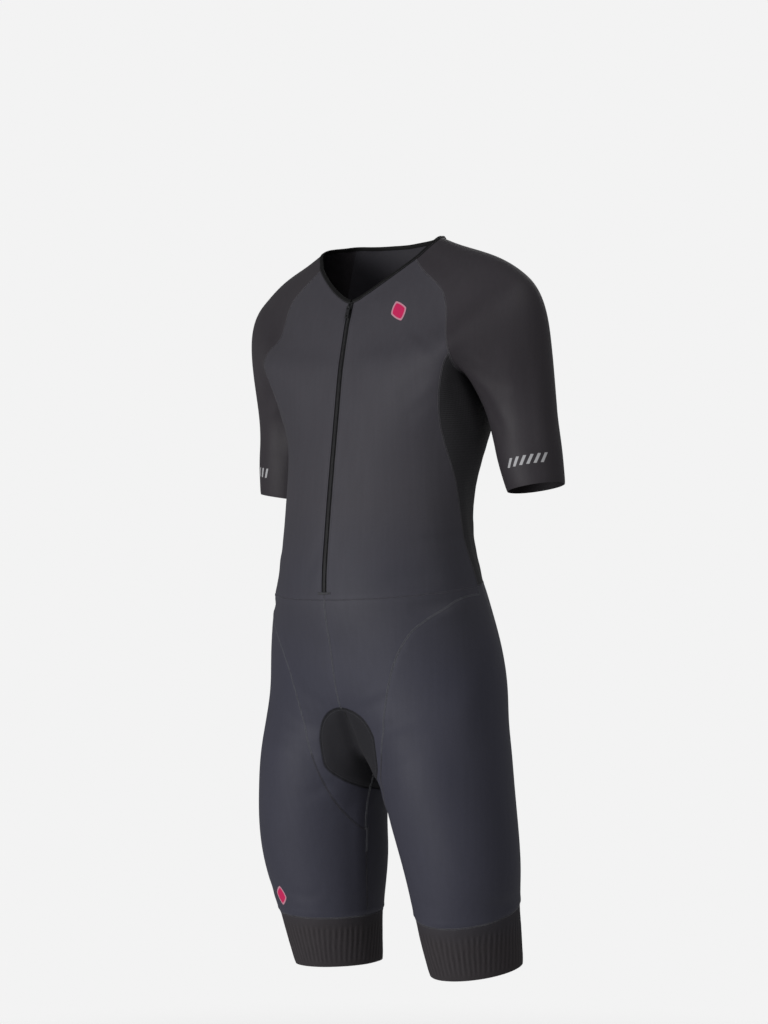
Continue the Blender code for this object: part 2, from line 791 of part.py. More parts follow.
def make_bridge(frame):
    """The slider's bridge, an arch along the zip whose opening holds the pull's bar."""
    profile = cells(BRIDGE_DOWN, BRIDGE_OUT, holes=((1, 0),))
    turned = frame @ Matrix(((0, 0, 1, 0), (1, 0, 0, 0), (0, 1, 0, 0), (0, 0, 0, 1)))
    return plate("bridge", turned, profile, -BRIDGE_HALF_WIDTH, BRIDGE_HALF_WIDTH)


def make_pull(frame):
    """The pull tab. Its top bar lies in the slider's bridge and turns there."""
    outline = cells(PULL_ACROSS, PULL_DOWN, holes=((1, 1),))
    plate("zip_pull", frame, outline, *PULL_OUT, PULL_BEVEL)


def colour_pieces():
    """Each piece gets a material of its own."""
    finishes = (
        # name starts with, red, green, blue, roughness
        ("zip_slider", 0.030, 0.030, 0.032, 0.40),
        ("zip_pull", 0.030, 0.030, 0.032, 0.40),
        ("zip", 0.020, 0.020, 0.021, 0.70),
        ("neck", 0.006, 0.006, 0.006, 0.80),
        ("side", 0.014, 0.014, 0.015, 0.75),
        ("sleeve", 0.030, 0.028, 0.030, 0.60),
        ("leg_cuff", 0.018, 0.018, 0.019, 0.75),
        ("saddle", 0.018, 0.018, 0.020, 0.80),
        ("shorts", 0.040, 0.044, 0.055, 0.65),
        ("leg", 0.040, 0.044, 0.055, 0.65),
        ("", 0.045, 0.045, 0.050, 0.65),
    )
    for piece in bpy.context.scene.objects:
        start, *colour, roughness = next(row for row in finishes if piece.name.startswith(row[0]))
        piece.data.materials.clear()
        piece.data.materials.append(finish(piece.name + "_cloth", colour, roughness))


def main():
    for old in list(bpy.data.objects):
        bpy.data.objects.remove(old)
    form = seamed_form(levels=1)
    tree = BVHTree.FromBMesh(form)
    for name in PANELS:
        if name == "saddle_pad":
            wall(name, form, thick=PAD_CLOTH)
        elif name == "neck_binding":
            wall(name, form, proud=BINDING_PROUD, thick=CLOTH + 2 * BINDING_PROUD)
        elif name not in ("zip_opening", "below_zip"):
            wall(name, form)
    make_zip(tree)
    form.free()
    colour_pieces()


main()
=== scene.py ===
import math

import bmesh
import bpy
import numpy as np
from mathutils import Matrix, Vector, noise
from mathutils.bvhtree import BVHTree
from mathutils.kdtree import KDTree


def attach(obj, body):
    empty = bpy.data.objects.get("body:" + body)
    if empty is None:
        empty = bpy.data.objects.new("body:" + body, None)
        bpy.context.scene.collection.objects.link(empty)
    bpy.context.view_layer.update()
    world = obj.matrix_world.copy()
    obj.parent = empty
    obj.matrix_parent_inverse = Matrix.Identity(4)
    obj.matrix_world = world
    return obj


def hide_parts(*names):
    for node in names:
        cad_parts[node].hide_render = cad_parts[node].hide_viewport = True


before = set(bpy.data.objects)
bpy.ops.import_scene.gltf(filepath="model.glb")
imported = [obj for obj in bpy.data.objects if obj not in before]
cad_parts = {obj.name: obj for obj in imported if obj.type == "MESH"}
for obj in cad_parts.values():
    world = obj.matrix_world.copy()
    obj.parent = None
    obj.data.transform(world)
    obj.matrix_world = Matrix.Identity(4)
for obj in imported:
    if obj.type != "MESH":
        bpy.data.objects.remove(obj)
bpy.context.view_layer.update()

# ---- The form ----
# The suit's panels are cut from flat stretch knit and take one smooth form when worn. The
# form is the limit surface of a cage of quads, drawn through the rows and lines below. Its
# seams are cut into it, and then each panel's cloth is made from its share of the faces.


def metres(*rows):
    """Rows given in millimetres, as an array in metres."""
    return np.array(rows) / 1000


FINE_LEVELS = 4
FIT_ROUNDS = 8
CURVE_STEPS = 24
SEAM_CURVE_STEPS = 200
WELD_DISTANCE = 1e-5
CROTCH_Z = -0.732

# The half ring of the body runs in steps from the centre front to the centre back: first
# the front's steps, then the side panel's and then the back's.
FRONT_STEPS = 4
SIDE_STEPS = 3
BACK_STEPS = 4
BACK_STEP = FRONT_STEPS + SIDE_STEPS
HALF_STEPS = BACK_STEP + BACK_STEPS

# Below the hips the front panel is drawn over this many steps of the leg's outer side and
# of its inner side, and its seams are cut inside them.
LEG_FRONT_STEPS = 3
INSEAM_FRONT_STEPS = 2

# Sections of the body, one row each, from under the arms to the hips. The height is that
# of the centre front, and back_rise is how much higher the centre back lies.
BODY = (
    # (z, back_rise, half_width, front_y, back_y, widest_y), squareness, front and back seam_deg
    ((-255, 0, 153, -107, 125, 8), 2.35, 61, 119),
    ((-335, 0, 143.5, -117.5, 108, -8), 2, 81, 121),
    ((-415, 10, 144, -127, 98, -13.5), 2, 92, 124),
    ((-500, 34, 158.5, -131.5, 102, -9.5), 2.05, 98, 128),
    ((-567, 14, 177, -117.5, 119, 0), 2.15, 89, 132),
    ((-633, 0, 184, -102, 128, 0), 2.3, 77, 132),
)

# Rows and lines of points, each x, y, z. First the row at the armholes' lowest points, on
# the wearer's left, from centre front to back.
ARMPIT_ROW = metres(
    (0, -98, -190), (46, -97.5, -188), (90, -93, -184), (130, -84, -177), (163, -68, -170),
    (156, -23, -193), (151, 34, -202), (158, 80, -185), (128, 103, -187), (86, 113, -190),
    (43, 115, -190), (0, 114, -190))

# Upright lines of the upper body, from the armpit row up to the neckline.
CENTRE_FRONT = metres((0, -98, -190), (0, -93, -163), (0, -87, -136), (0, -80, -110), (0, -72, -85))
FRONT_RAGLAN = metres(
    (163, -68, -170), (148, -54, -129), (137, -45, -85), (109, -45, -56), (81.5, -36, -29))
SHOULDER_LINE = metres(
    (251, 21, -110), (224.5, 16, -57.5), (185, 12, -32.5), (140, 4, -15.5), (99, -8, 0))
BACK_RAGLAN = metres((158, 80, -185), (147, 83, -133), (129, 73, -83), (105, 55, -37), (78, 36, 10))
CENTRE_BACK = metres((0, 114, -190), (0, 106, -140), (0, 94, -90), (0, 78, -40), (0, 58, 8))

# The neckline, from the foot of its V round to the centre back.
NECK_FRONT = metres((0, -72, -85), (18, -69, -78), (38, -62, -65), (61, -50, -47), (81.5, -36, -29))
NECK_SHOULDER = metres((81.5, -36, -29), (99, -8, 0), (78, 36, 10))
NECK_BACK = metres((78, 36, 10), (42, 53, 9), (0, 58, 8))

# The armhole over the arm, from its front point to its back point.
ARMHOLE = metres(
    (163, -68, -170), (193, -48, -148), (229, -22, -124), (251, 21, -110), (236, 60, -128),
    (199, 78, -158), (158, 80, -185))

# Sections across the sleeve, square to the arm, down to its hem: centre and radius.
SLEEVE = metres((205, 40, -235, 48.5), (214, 46.5, -295, 44.5), (222.7, 51.2, -347.5, 39.5))
SLEEVE_LEAN = (0.167, 0.0)
ARM_STEPS = 6
SLEEVE_FRONT_DEG = 55.0
SLEEVE_BACK_DEG = 305.0

# Sections of the thigh below the crotch. Each is oval: a little longer from its outer front
# to its inner back. Then the seam and the hem of each cuff, by side, since the two legs
# stand a little differently.
THIGH = (
    # z, centre_x, centre_y, radius, oval, lean_x, lean_y
    (-0.7700, 0.1104, 0.0035, 0.0922, 0.017, 0.0, 0.00),
    (-0.8570, 0.1201, 0.0172, 0.0853, 0.056, 0.0, 0.05),
)
CUFF = {
    1: (
        (-0.9227, 0.1224, 0.0289, 0.0725, 0.0, -0.007, 0.248),
        (-1.0050, 0.1258, 0.0451, 0.0643, 0.0, 0.073, 0.137),
    ),
    -1: (
        (-0.9446, 0.1229, 0.0348, 0.0748, 0.0, 0.008, 0.038),
        (-1.0195, 0.1209, 0.0497, 0.0632, 0.0, -0.046, 0.014),
    ),
}
LONG_WAY_DEG = 142.0
CUFF_ROW = 3
LEG_FRONT_DEG = 42.0
LEG_BACK_DEG = 320.0
LEG_INNER_DEG = (342.0, 368.0, 384.0)

# The level where the legs part. Its ends and the saddle's points lie on the centre plane.
PARTING_CENTRE = (0.0995, 0.0010, -0.700)
PARTING_RADIUS = 0.0950
PARTING_FRONT = (0, -0.064, -0.700)
PARTING_BACK = (0, 0.090, -0.700)
SADDLE = metres((0, 54, -723), (0, 6, -732), (0, -34, -722))

# The seam down the front of the thigh: z, and how far it lies from the centre plane.
THIGH_SEAM = metres(
    (-460, 180), (-486, 164), (-497, 158), (-511, 150), (-526, 135), (-541, 120), (-562, 106),
    (-581, 96), (-607, 86), (-650, 74), (-700, 64), (-750, 52), (-800, 38), (-840, 20), (-860, 0))


def walked(path):
    """How far along a path each of its points lies."""
    return np.append(0, np.cumsum(np.linalg.norm(np.diff(path, axis=0), axis=1)))


def evenly(path, values, count):
    """What the values at a path's points come to at a number of even places along it."""
    wanted = np.linspace(0, walked(path)[-1], count)
    return np.stack([np.interp(wanted, walked(path), column) for column in values.T], axis=1)


def spread(points, steps):
    """Points at equal steps along a smooth curve through the given ones."""
    ends = np.vstack([2 * points[0] - points[1], points, 2 * points[-1] - points[-2]])
    fine = []
    for before, start, end, after in zip(ends, ends[1:], ends[2:], ends[3:]):
        for t in np.linspace(0, 1, CURVE_STEPS, endpoint=False):
            pull_out = (end - before) * (t - 2 * t**2 + t**3) / 2
            pull_in = (after - start) * (t**3 - t**2) / 2
            blend = t * t * (3 - 2 * t)
            fine.append(start * (1 - blend) + end * blend + pull_out + pull_in)
    fine = np.array(fine + [points[-1]])
    return evenly(fine, fine, steps + 1)


def between(lower, upper, start, end):
    """A grid of points spanning four edges: two rows, and the columns that join them."""
    up = np.linspace(0, 1, len(start))[:, None, None]
    along = np.linspace(0, 1, len(lower))[None, :, None]
    rows = (1 - up) * lower[None] + up * upper[None]
    columns = (1 - along) * start[:, None] + along * end[:, None]
    corners = (1 - up) * ((1 - along) * lower[0] + along * lower[-1])
    corners = corners + up * ((1 - along) * upper[0] + along * upper[-1])
    return rows + columns - corners


def body_row(sizes, squareness, *seams):
    """The half section of the body at one level, from centre front to centre back."""
    z, rise, half_width, front_y, back_y, widest_y = metres(*sizes)
    marks = (0, FRONT_STEPS, BACK_STEP, HALF_STEPS)
    degrees = np.interp(np.arange(HALF_STEPS + 1), marks, (0, *seams, 180))
    turn = np.radians(degrees)
    across = np.abs(np.sin(turn)) ** (2 / squareness)
    along = np.abs(np.cos(turn)) ** (2 / squareness)
    depth = np.where(degrees < 90, front_y - widest_y, back_y - widest_y)
    x = half_width * across
    x[[0, -1]] = 0
    heights = z + rise * (1 - np.cos(turn)) / 2
    return np.stack([x, widest_y + depth * along, heights], axis=1)


def ring(centre, radius, degrees, lean=(0.0, 0.0), oval=0.0):
    """Points round a limb. Zero degrees faces the body, and 90 faces the front."""
    turn = np.radians(degrees)
    reach = radius * (1 + oval * np.cos(2 * (turn - math.radians(LONG_WAY_DEG))))
    x = -np.cos(turn) * reach
    y = -np.sin(turn) * reach
    return np.array(centre) + np.stack([x, y, lean[0] * x + lean[1] * y], axis=1)


def sleeve_rings():
    """Closed rings of the sleeve, from the armhole to the hem."""
    over = np.linspace(SLEEVE_FRONT_DEG, SLEEVE_BACK_DEG, ARM_STEPS + 1)
    under = np.linspace(SLEEVE_BACK_DEG, SLEEVE_FRONT_DEG + 360, SIDE_STEPS + 1)
    armpit = ARMPIT_ROW[BACK_STEP:FRONT_STEPS - 1:-1]
    rings = [np.vstack([ARMHOLE, armpit[1:]])]
    for *centre, radius in SLEEVE:
        rings.append(ring(centre, radius, np.append(over, under[1:]), SLEEVE_LEAN))
    return np.array(rings)


def parting_row():
    """The half ring where the legs part, from centre front to centre back."""
    row = ring(PARTING_CENTRE, PARTING_RADIUS, np.linspace(LEG_FRONT_DEG, LEG_BACK_DEG, HALF_STEPS + 1))
    row[[0, -1]] = PARTING_FRONT, PARTING_BACK
    return row


def leg_rings(side):
    """Closed rings of one side's leg, from the crotch to the hem."""
    outer = np.linspace(LEG_FRONT_DEG, LEG_BACK_DEG, HALF_STEPS + 1)
    degrees = np.concatenate([outer, LEG_INNER_DEG, [LEG_FRONT_DEG + 360]])
    first = parting_row()
    rings = [np.vstack([first, SADDLE, first[:1]])]
    for z, x, y, radius, oval, *lean in THIGH + CUFF[side]:
        rings.append(ring((x, y, z), radius, degrees, lean, oval))
    return np.array(rings)


def patches(side):
    """Every patch of one half as (grid of points on the left, panel of each step along it)."""
    half_arm = ARM_STEPS // 2
    shoulder_neck = spread(NECK_SHOULDER, ARM_STEPS)
    front, back = ["front"] * FRONT_STEPS, ["back"] * BACK_STEPS
    body = np.array([ARMPIT_ROW] + [body_row(*row) for row in BODY[:4]])
    hips = np.array([body_row(*row) for row in BODY[3:]] + [parting_row()])
    legs = leg_rings(side)
    leg_steps = legs.shape[1] - 1
    leg_panels = (["shorts_front"] * LEG_FRONT_STEPS
                  + ["leg"] * (leg_steps - LEG_FRONT_STEPS - INSEAM_FRONT_STEPS)
                  + ["shorts_front"] * INSEAM_FRONT_STEPS)
    return (
        (between(ARMPIT_ROW[:FRONT_STEPS + 1], NECK_FRONT, CENTRE_FRONT, FRONT_RAGLAN), front),
        (between(ARMHOLE[:half_arm + 1], shoulder_neck[:half_arm + 1],
                 FRONT_RAGLAN, SHOULDER_LINE), ["sleeve"] * half_arm),
        (between(ARMHOLE[half_arm:], shoulder_neck[half_arm:],
                 SHOULDER_LINE, BACK_RAGLAN), ["sleeve"] * half_arm),
        (between(ARMPIT_ROW[BACK_STEP:], spread(NECK_BACK, BACK_STEPS), BACK_RAGLAN, CENTRE_BACK), back),
        (body[::-1], front + ["side"] * SIDE_STEPS + back),
        (sleeve_rings()[::-1], ["sleeve"] * (ARM_STEPS + SIDE_STEPS)),
        (hips[::-1], ["shorts_front"] * FRONT_STEPS + ["leg"] * (HALF_STEPS - FRONT_STEPS)),
        (legs[:CUFF_ROW + 1][::-1], leg_panels),
        (legs[CUFF_ROW:][::-1], ["leg_cuff"] * leg_steps),
    )


PANELS = (
    "front_left", "front_right", "side_left", "side_right", "back",
    "sleeve_left", "sleeve_right", "shorts_front_left", "shorts_front_right",
    "leg_left", "leg_right", "leg_cuff_left", "leg_cuff_right",
    "saddle_pad", "neck_binding", "zip_opening", "below_zip",
)
SNAP_SHARE = 0.25
ZIP_HALF_GAP = 0.0045
ZIP_FOOT_Z = -0.4915
BINDING_WIDTH = 0.0050
PAD_HALF_WIDTH = 0.048
PAD_BACK_HALF_WIDTH = 0.062
PAD_WIDE_Y = 0.060
PAD_END_Z = -0.695
PAD_ROUNDING = 0.006


def panel_number(name, x):
    """A panel's number: the one of the side that x lies on, or the shared one."""
    sided = name + ("_left" if x > 0 else "_right")
    return PANELS.index(sided if sided in PANELS else name)


def mapped_face(mesh, corners, places):
    """A new face of a bmesh, with each corner's place on the flat cloth."""
    face = mesh.faces.new(corners)
    for loop, place in zip(face.loops, places):
        loop[mesh.loops.layers.uv[0]].uv = place
    return face


def cage():
    """The cage as a bmesh, its quads numbered by panel and mapped in metres along the cloth."""
    mesh = bmesh.new()
    mesh.loops.layers.uv.new("UVMap")
    for side in (1, -1):
        for grid, panels in patches(side):
            steps = np.linalg.norm(np.diff(grid, axis=1), axis=2).mean(0)
            rises = np.linalg.norm(np.diff(grid, axis=0), axis=2).mean(1)
            across = side * np.append(0, np.cumsum(steps))
            up = np.append(0, np.cumsum(rises))
            rows = [[mesh.verts.new(point) for point in row] for row in grid * (side, 1, 1)]
            for i in range(len(rows) - 1):
                for j, panel in enumerate(panels):
                    corners = [(i, j), (i, j + 1), (i + 1, j + 1), (i + 1, j)][::side]
                    face = mapped_face(mesh, [rows[row][column] for row, column in corners],
                                       [(across[column], up[row]) for row, column in corners])
                    face.material_index = panel_number(panel, side)
    bmesh.ops.remove_doubles(mesh, verts=mesh.verts, dist=WELD_DISTANCE)
    return mesh


def coordinates(data):
    """A mesh's points as an array."""
    flat = np.empty(len(data.vertices) * 3, np.float32)
    data.vertices.foreach_get("co", flat)
    return flat.reshape(-1, 3).astype(float)


def evaluated(thing):
    """The object with its modifiers applied."""
    graph = bpy.context.evaluated_depsgraph_get()
    graph.update()
    return thing.evaluated_get(graph)


def placed(name, data):
    """A new object of that name in the scene."""
    made = bpy.data.objects.new(name, data)
    bpy.context.scene.collection.objects.link(made)
    return made


def smooth_form(levels):
    """The limit surface through the cage's own points, as a bmesh."""
    drawn = cage()
    data = bpy.data.meshes.new("cage")
    drawn.to_mesh(data)
    drawn.free()
    guide = placed("cage", data)
    smoothing = guide.modifiers.new("smooth", "SUBSURF")
    smoothing.levels = smoothing.render_levels = 1
    wanted = coordinates(data)
    for _ in range(FIT_ROUNDS):
        passed = coordinates(evaluated(guide).to_mesh())[:len(wanted)]
        data.vertices.foreach_set("co", (coordinates(data) + wanted - passed).ravel())
        data.update()
    smoothing.levels = smoothing.render_levels = levels
    made = bmesh.new()
    made.from_mesh(evaluated(guide).to_mesh())
    bpy.data.objects.remove(guide)
    return made


def cut(panels, margin, inside):
    """Cuts the form's named panels where margin is zero, and relabels what lies below it."""
    numbers = {PANELS.index(name) for name in panels}
    faces = [face for face in form.faces if face.material_index in numbers]
    value = {vert: margin(vert.co) for vert in {vert for face in faces for vert in face.verts}}
    edges = {edge for face in faces for edge in face.edges}
    crossed = sorted((edge for edge in edges if value[edge.verts[0]] * value[edge.verts[1]] < 0),
                     key=lambda edge: edge.index)
    line = set()
    for snapping in (True, False):
        for edge in crossed:
            start, end = edge.verts
            if value[start] * value[end] >= 0:
                continue
            share = value[start] / (value[start] - value[end])
            if not snapping:
                met = bmesh.utils.edge_split(edge, start, share)[1]
            elif SNAP_SHARE < share < 1 - SNAP_SHARE:
                continue
            else:
                met = start if share < 0.5 else end
                met.co = start.co.lerp(end.co, share)
            value[met] = 0.0
            line.add(met)
    bmesh.ops.connect_verts(form, verts=list(line))
    for face in form.faces:
        if face.material_index in numbers:
            middle = face.calc_center_median()
            if margin(middle) < 0:
                face.material_index = panel_number(inside, middle.x)


seam_line = spread(np.insert(THIGH_SEAM, 1, 0, axis=1), SEAM_CURVE_STEPS)[::-1]


def thigh_margin(point):
    """Below zero towards the centre from the seam down the front of the thigh."""
    return abs(point.x) - float(np.interp(point.z, seam_line[:, 0], seam_line[:, 2]))


def past(distance):
    """A distance where it is above zero, and nothing below, with a soft turn between."""
    return (distance + math.hypot(distance, PAD_ROUNDING)) / 2


def pad_margin(point):
    """Below zero inside the saddle pad, a long oval that runs under the crotch."""
    across = abs(point.x) + past(CROTCH_Z - point.z)
    along = past(point.z - PAD_END_Z)
    back = min(1.0, max(0.0, point.y / PAD_WIDE_Y))
    return math.hypot(across, along) - PAD_HALF_WIDTH - back * (PAD_BACK_HALF_WIDTH - PAD_HALF_WIDTH)


def nearness(points):
    """A tree that finds the nearest of some points."""
    tree = KDTree(len(points))
    for index, point in enumerate(points):
        tree.insert(point, index)
    tree.balance()
    return tree


def along_edges(edges, shares):
    """Points on the edges, at the given shares of each one's length."""
    return [edge.verts[0].co.lerp(edge.verts[1].co, share) for edge in edges for share in shares]


form = smooth_form(FINE_LEVELS)
NECK_BOTTOM_Z = -0.120
NECK_SHARES = 8
neck_edges = [edge for edge in form.edges
              if edge.is_boundary and edge.verts[0].co.z > NECK_BOTTOM_Z]
neck_points = nearness(along_edges(neck_edges, np.linspace(0, 1, NECK_SHARES)))
FRONTS = ("front_left", "front_right")
SLEEVES = ("sleeve_left", "sleeve_right")
SHORTS = ("shorts_front_left", "shorts_front_right")
LEGS = ("leg_left", "leg_right")
cut(SHORTS, lambda point: -thigh_margin(point), "leg")
cut(SHORTS + LEGS, pad_margin, "saddle_pad")
cut(FRONTS, lambda point: point.z - ZIP_FOOT_Z, "below_zip")
cut(FRONTS, lambda point: abs(point.x) - ZIP_HALF_GAP, "zip_opening")
for face in form.faces:
    if face.material_index == PANELS.index("below_zip"):
        face.material_index = panel_number("front", face.calc_center_median().x)
cut(FRONTS + SLEEVES + ("back",), lambda point: neck_points.find(point)[2] - BINDING_WIDTH,
    "neck_binding")
form.normal_update()

# ---- Seams and creases ----
# Flat seams sink a little between their panels, and the knit puckers beside them. Wearing
# pulls soft creases out of the armpits, round the waist, from the crotch and under the
# seat. They are drawn for the wearer's left, and the right side has uneven copies.
SEAM_DIP = 0.00020
SEAM_DIP_WIDTH = 0.0018
PAD_DIP = 0.0004
PUCKER = 0.00030
PUCKER_SIZE = 0.011
PUCKER_WIDTH = 0.009
EDGE_CURL = 0.0005
EDGE_CURL_WIDTH = 0.0030
SWELL = 0.0006
SWELL_SIZE = 0.075
SWELL_SEAM_WIDTH = 0.020
PAD_SWELL = 0.0016
PAD_SWELL_WIDTH = 0.011
PAD_GROOVE = 0.0060
PAD_GROOVE_WIDTH = 0.0090
LEG_ROLL = 0.0006
LEG_ROLL_HEIGHT = 0.0050
LEG_ROLL_WIDTH = 0.0040
CUFF_INSET = 0.0009
CUFF_INSET_HEIGHT = 0.0300

# A crease's lip is softer than its trough, and lies beside it.
CREASE_STEPS = 30
CREASE_REACH = 3.0
CREASE_TAPER = 0.8
LIP_DEPTH = 0.45
LIP_ASIDE = 1.6
LIP_WIDTH = 0.8
SAME_SIDE = 0.2
CREASE_MOVE = 0.004
CREASE_WIDTHS = (0.85, 1.20)
CREASE_DEPTHS = (0.65, 1.25)
CREASE_SEED = 11
CREASES = metres(
    # start, middle and end, each as x, y, z; width, depth
    (160, -72, -178, 128, -90, -207, 92, -100, -228, 12, 1.8),
    (161, -66, -195, 140, -84, -232, 112, -97, -262, 10, 1.2),
    (160, -70, -165, 130, -76, -150, 98, -78, -130, 11, 1),
    (158, -60, -205, 151, -20, -250, 150, 10, -300, 11, 1.5),
    (152, 20, -225, 150, 45, -262, 147, 66, -300, 9, 1.4),
    (158, 70, -205, 140, 95, -235, 110, 112, -262, 11, 1.8),
    (155, 82, -180, 130, 98, -160, 100, 104, -140, 10, 1.2),
    (175, -55, -190, 200, -25, -215, 228, -10, -222, 9, 1.8),
    (172, -45, -205, 186, -5, -245, 200, 10, -285, 9, 1.3),
    (180, 75, -190, 215, 80, -205, 243, 66, -215, 10, 1.6),
    (243, -5, -160, 238, 0, -230, 240, 6, -300, 16, 1),
    (205, -40, -150, 214, -30, -195, 213, -12, -245, 13, 1.3),
    (235, 75, -235, 232, 88, -285, 226, 85, -325, 10, 1),
    (120, -93, -425, 146, -40, -418, 144, 10, -408, 9, 1),
    (136, 40, -440, 105, 75, -447, 60, 92, -440, 10, 1.4),
    (140, 30, -415, 112, 69, -410, 75, 88, -414, 9, 1.1),
    (145, 20, -470, 115, 72, -478, 30, 100, -474, 11, 1.2),
    (156, -30, -497, 138, -72, -503, 110, -100, -512, 9, 1.6),
    (150, -60, -470, 120, -95, -466, 90, -112, -470, 12, 0.8),
    (40, -82, -690, 85, -98, -668, 125, -88, -652, 10, 1.4),
    (55, -75, -715, 100, -90, -700, 140, -75, -690, 11, 1.1),
    (30, -95, -650, 60, -103, -632, 90, -104, -622, 8, 0.8),
    (25, -30, -745, 50, -66, -757, 85, -82, -770, 9, 1.2),
    (22, 20, -760, 30, -40, -785, 60, -65, -800, 10, 1),
    (20, 118, -690, 70, 128, -705, 120, 110, -700, 12, 1.8),
    (30, 95, -725, 80, 100, -735, 130, 85, -728, 10, 1.5),
    (60, 85, -760, 100, 98, -768, 150, 75, -760, 10, 1.1),
    (5, 128, -610, 40, 130, -632, 100, 125, -640, 12, 1),
    (70, -30, -905, 100, -55, -912, 140, -56, -910, 8, 0.8),
    (160, -30, -900, 190, 10, -905, 200, 50, -902, 8, 0.9),
    (80, 95, -900, 120, 118, -892, 160, 105, -896, 10, 1.5),
    (75, 80, -925, 118, 110, -922, 165, 98, -926, 8, 1),
    (10, 115, -200, 50, 116, -215, 100, 112, -235, 14, 0.9),
    (60, 75, -40, 50, 90, -80, 30, 100, -120, 13, 0.8),
    (14, -88, -120, 20, -100, -170, 24, -108, -230, 10, 0.7),
    (12, -126, -400, 20, -130, -440, 30, -131, -470, 10, 0.8),
)


def bell(distance, width):
    """One at the middle, falling to almost nothing at twice the width."""
    return np.exp(-(np.array(distance) / width) ** 2)


def unit(rows):
    """Vectors, one a row, each at a length of one."""
    return rows / np.linalg.norm(rows, axis=1)[:, None]


def dots(first, second):
    """The dot product of two vectors, row by row."""
    return np.einsum("ij,ij->i", first, second)


def as_line(found):
    """Places found on the form, and their outward directions, as two arrays."""
    return np.array([place for place, *_ in found]), np.array([outward for _, outward, *_ in found])


def distance_to(edges):
    """Each point's distance to the nearest of the edges."""
    tree = nearness(along_edges(edges, (0.0, 0.5)))
    return np.array([tree.find(point)[2] for point in points])


def panels_at(edge):
    """The names of the panels that meet at an edge."""
    return {PANELS[face.material_index] for face in edge.link_faces}


def crease_height(line, width, depth):
    """How far one crease moves each point: a trough with a softer lip on one side."""
    path, facing = as_line([surface.find_nearest(Vector(point)) for point in spread(line, CREASE_STEPS)])
    along = unit(np.gradient(path, axis=0))
    side = np.cross(facing, along)
    within = CREASE_REACH * width
    near = np.flatnonzero(np.all((points > path.min(0) - within) & (points < path.max(0) + within), axis=1))
    nearest = np.linalg.norm(points[near, None] - path[None], axis=2).argmin(1)
    offset = points[near] - path[nearest]
    across = dots(offset, side[nearest])
    beyond_end = dots(offset, along[nearest])
    same_side = dots(normals[near], facing[nearest]) > SAME_SIDE
    taper = np.sin(np.pi * nearest / (len(path) - 1)) ** CREASE_TAPER * bell(beyond_end, width)
    trough = bell(across, width) - LIP_DEPTH * bell(across - LIP_ASIDE * width, LIP_WIDTH * width)
    moved = np.zeros(len(points))
    moved[near] = -depth * taper * trough * same_side
    return moved


form.verts.index_update()
surface = BVHTree.FromBMesh(form)
points = np.array([vert.co for vert in form.verts])
normals = np.array([vert.normal for vert in form.verts])
seam_edges = [edge for edge in form.edges if len(panels_at(edge)) > 1]
to_seam = distance_to(seam_edges)
to_hem = distance_to([edge for edge in form.edges
                      if edge.is_boundary and edge.verts[0].co.z < NECK_BOTTOM_Z])
to_pad_seam = distance_to([edge for edge in seam_edges if "saddle_pad" in panels_at(edge)])
to_cuff_seam = distance_to([edge for edge in seam_edges
                            if any("cuff" in name for name in panels_at(edge))])
in_pad, in_cuff = np.zeros((2, len(points)), bool)
for face in form.faces:
    name = PANELS[face.material_index]
    for vert in face.verts:
        in_pad[vert.index] |= name == "saddle_pad"
        in_cuff[vert.index] |= "cuff" in name

height = np.zeros(len(points))
uneven = np.random.default_rng(CREASE_SEED)
for *line, width, depth in CREASES:
    for side in (1, -1):
        moved = np.reshape(line, (3, 3)) + uneven.normal(0, CREASE_MOVE, (3, 3))
        height += crease_height(moved * (side, 1, 1), width * uneven.uniform(*CREASE_WIDTHS),
                                depth * uneven.uniform(*CREASE_DEPTHS))
swell = np.array([noise.noise(Vector(point) / SWELL_SIZE) for point in points])
ripple = np.array([noise.noise(Vector(point) / PUCKER_SIZE) for point in points])
height += SWELL * swell * (1 - bell(to_seam, SWELL_SEAM_WIDTH))
height += PUCKER * ripple * bell(to_seam, PUCKER_WIDTH)
height -= SEAM_DIP * bell(to_seam, SEAM_DIP_WIDTH)
height -= PAD_DIP * bell(to_pad_seam, SEAM_DIP_WIDTH)
height -= EDGE_CURL * bell(to_hem, EDGE_CURL_WIDTH)
near_pad_seam = np.clip(to_pad_seam / PAD_SWELL_WIDTH, 0, 1)
pad_rise = in_pad * near_pad_seam ** 2 * (3 - 2 * near_pad_seam)
height += pad_rise * (PAD_SWELL - PAD_GROOVE * bell(points[:, 0], PAD_GROOVE_WIDTH))
height += ~in_cuff * LEG_ROLL * bell(to_cuff_seam - LEG_ROLL_HEIGHT, LEG_ROLL_WIDTH)
height -= in_cuff * CUFF_INSET * bell(to_cuff_seam, CUFF_INSET_HEIGHT)

for vert, place in zip(form.verts, points + normals * height[:, None]):
    vert.co = place
form.normal_update()
surface = BVHTree.FromBMesh(form)

# ---- The fronts and the back ----
# Two fronts with the zip between them and one back are cut from smooth charcoal stretch
# jersey. Below the chest their colour fades, darker and bluer, into the colour of the shorts
# at the waist. Panels butt edge to edge at flat seams, so each one is a thin wall of its own.
CLOTH_THICK = 0.0010
SEAM_MASK_WIDTH = 0.006
SHARP_EDGE_DEG = 50
STREAK_SCALE = (170.0, 170.0, 5.0)
MOTTLE_SCALE = (9.0, 9.0, 7.0)
FUZZ_SCALE = 900.0
LOOP_SLANT = 1.4
LOOP_HEIGHT = 0.2
COLUMN_HEIGHT = 1.2
VALLEY_HEIGHT = 0.2
TONE_RELIEF = 0.8
INSIDE_SHADE = 0.75
ROUGHNESS_PLAY = 0.12
CLOTH_SPECULAR = 0.30
SHEEN_ROUGHNESS = 0.5


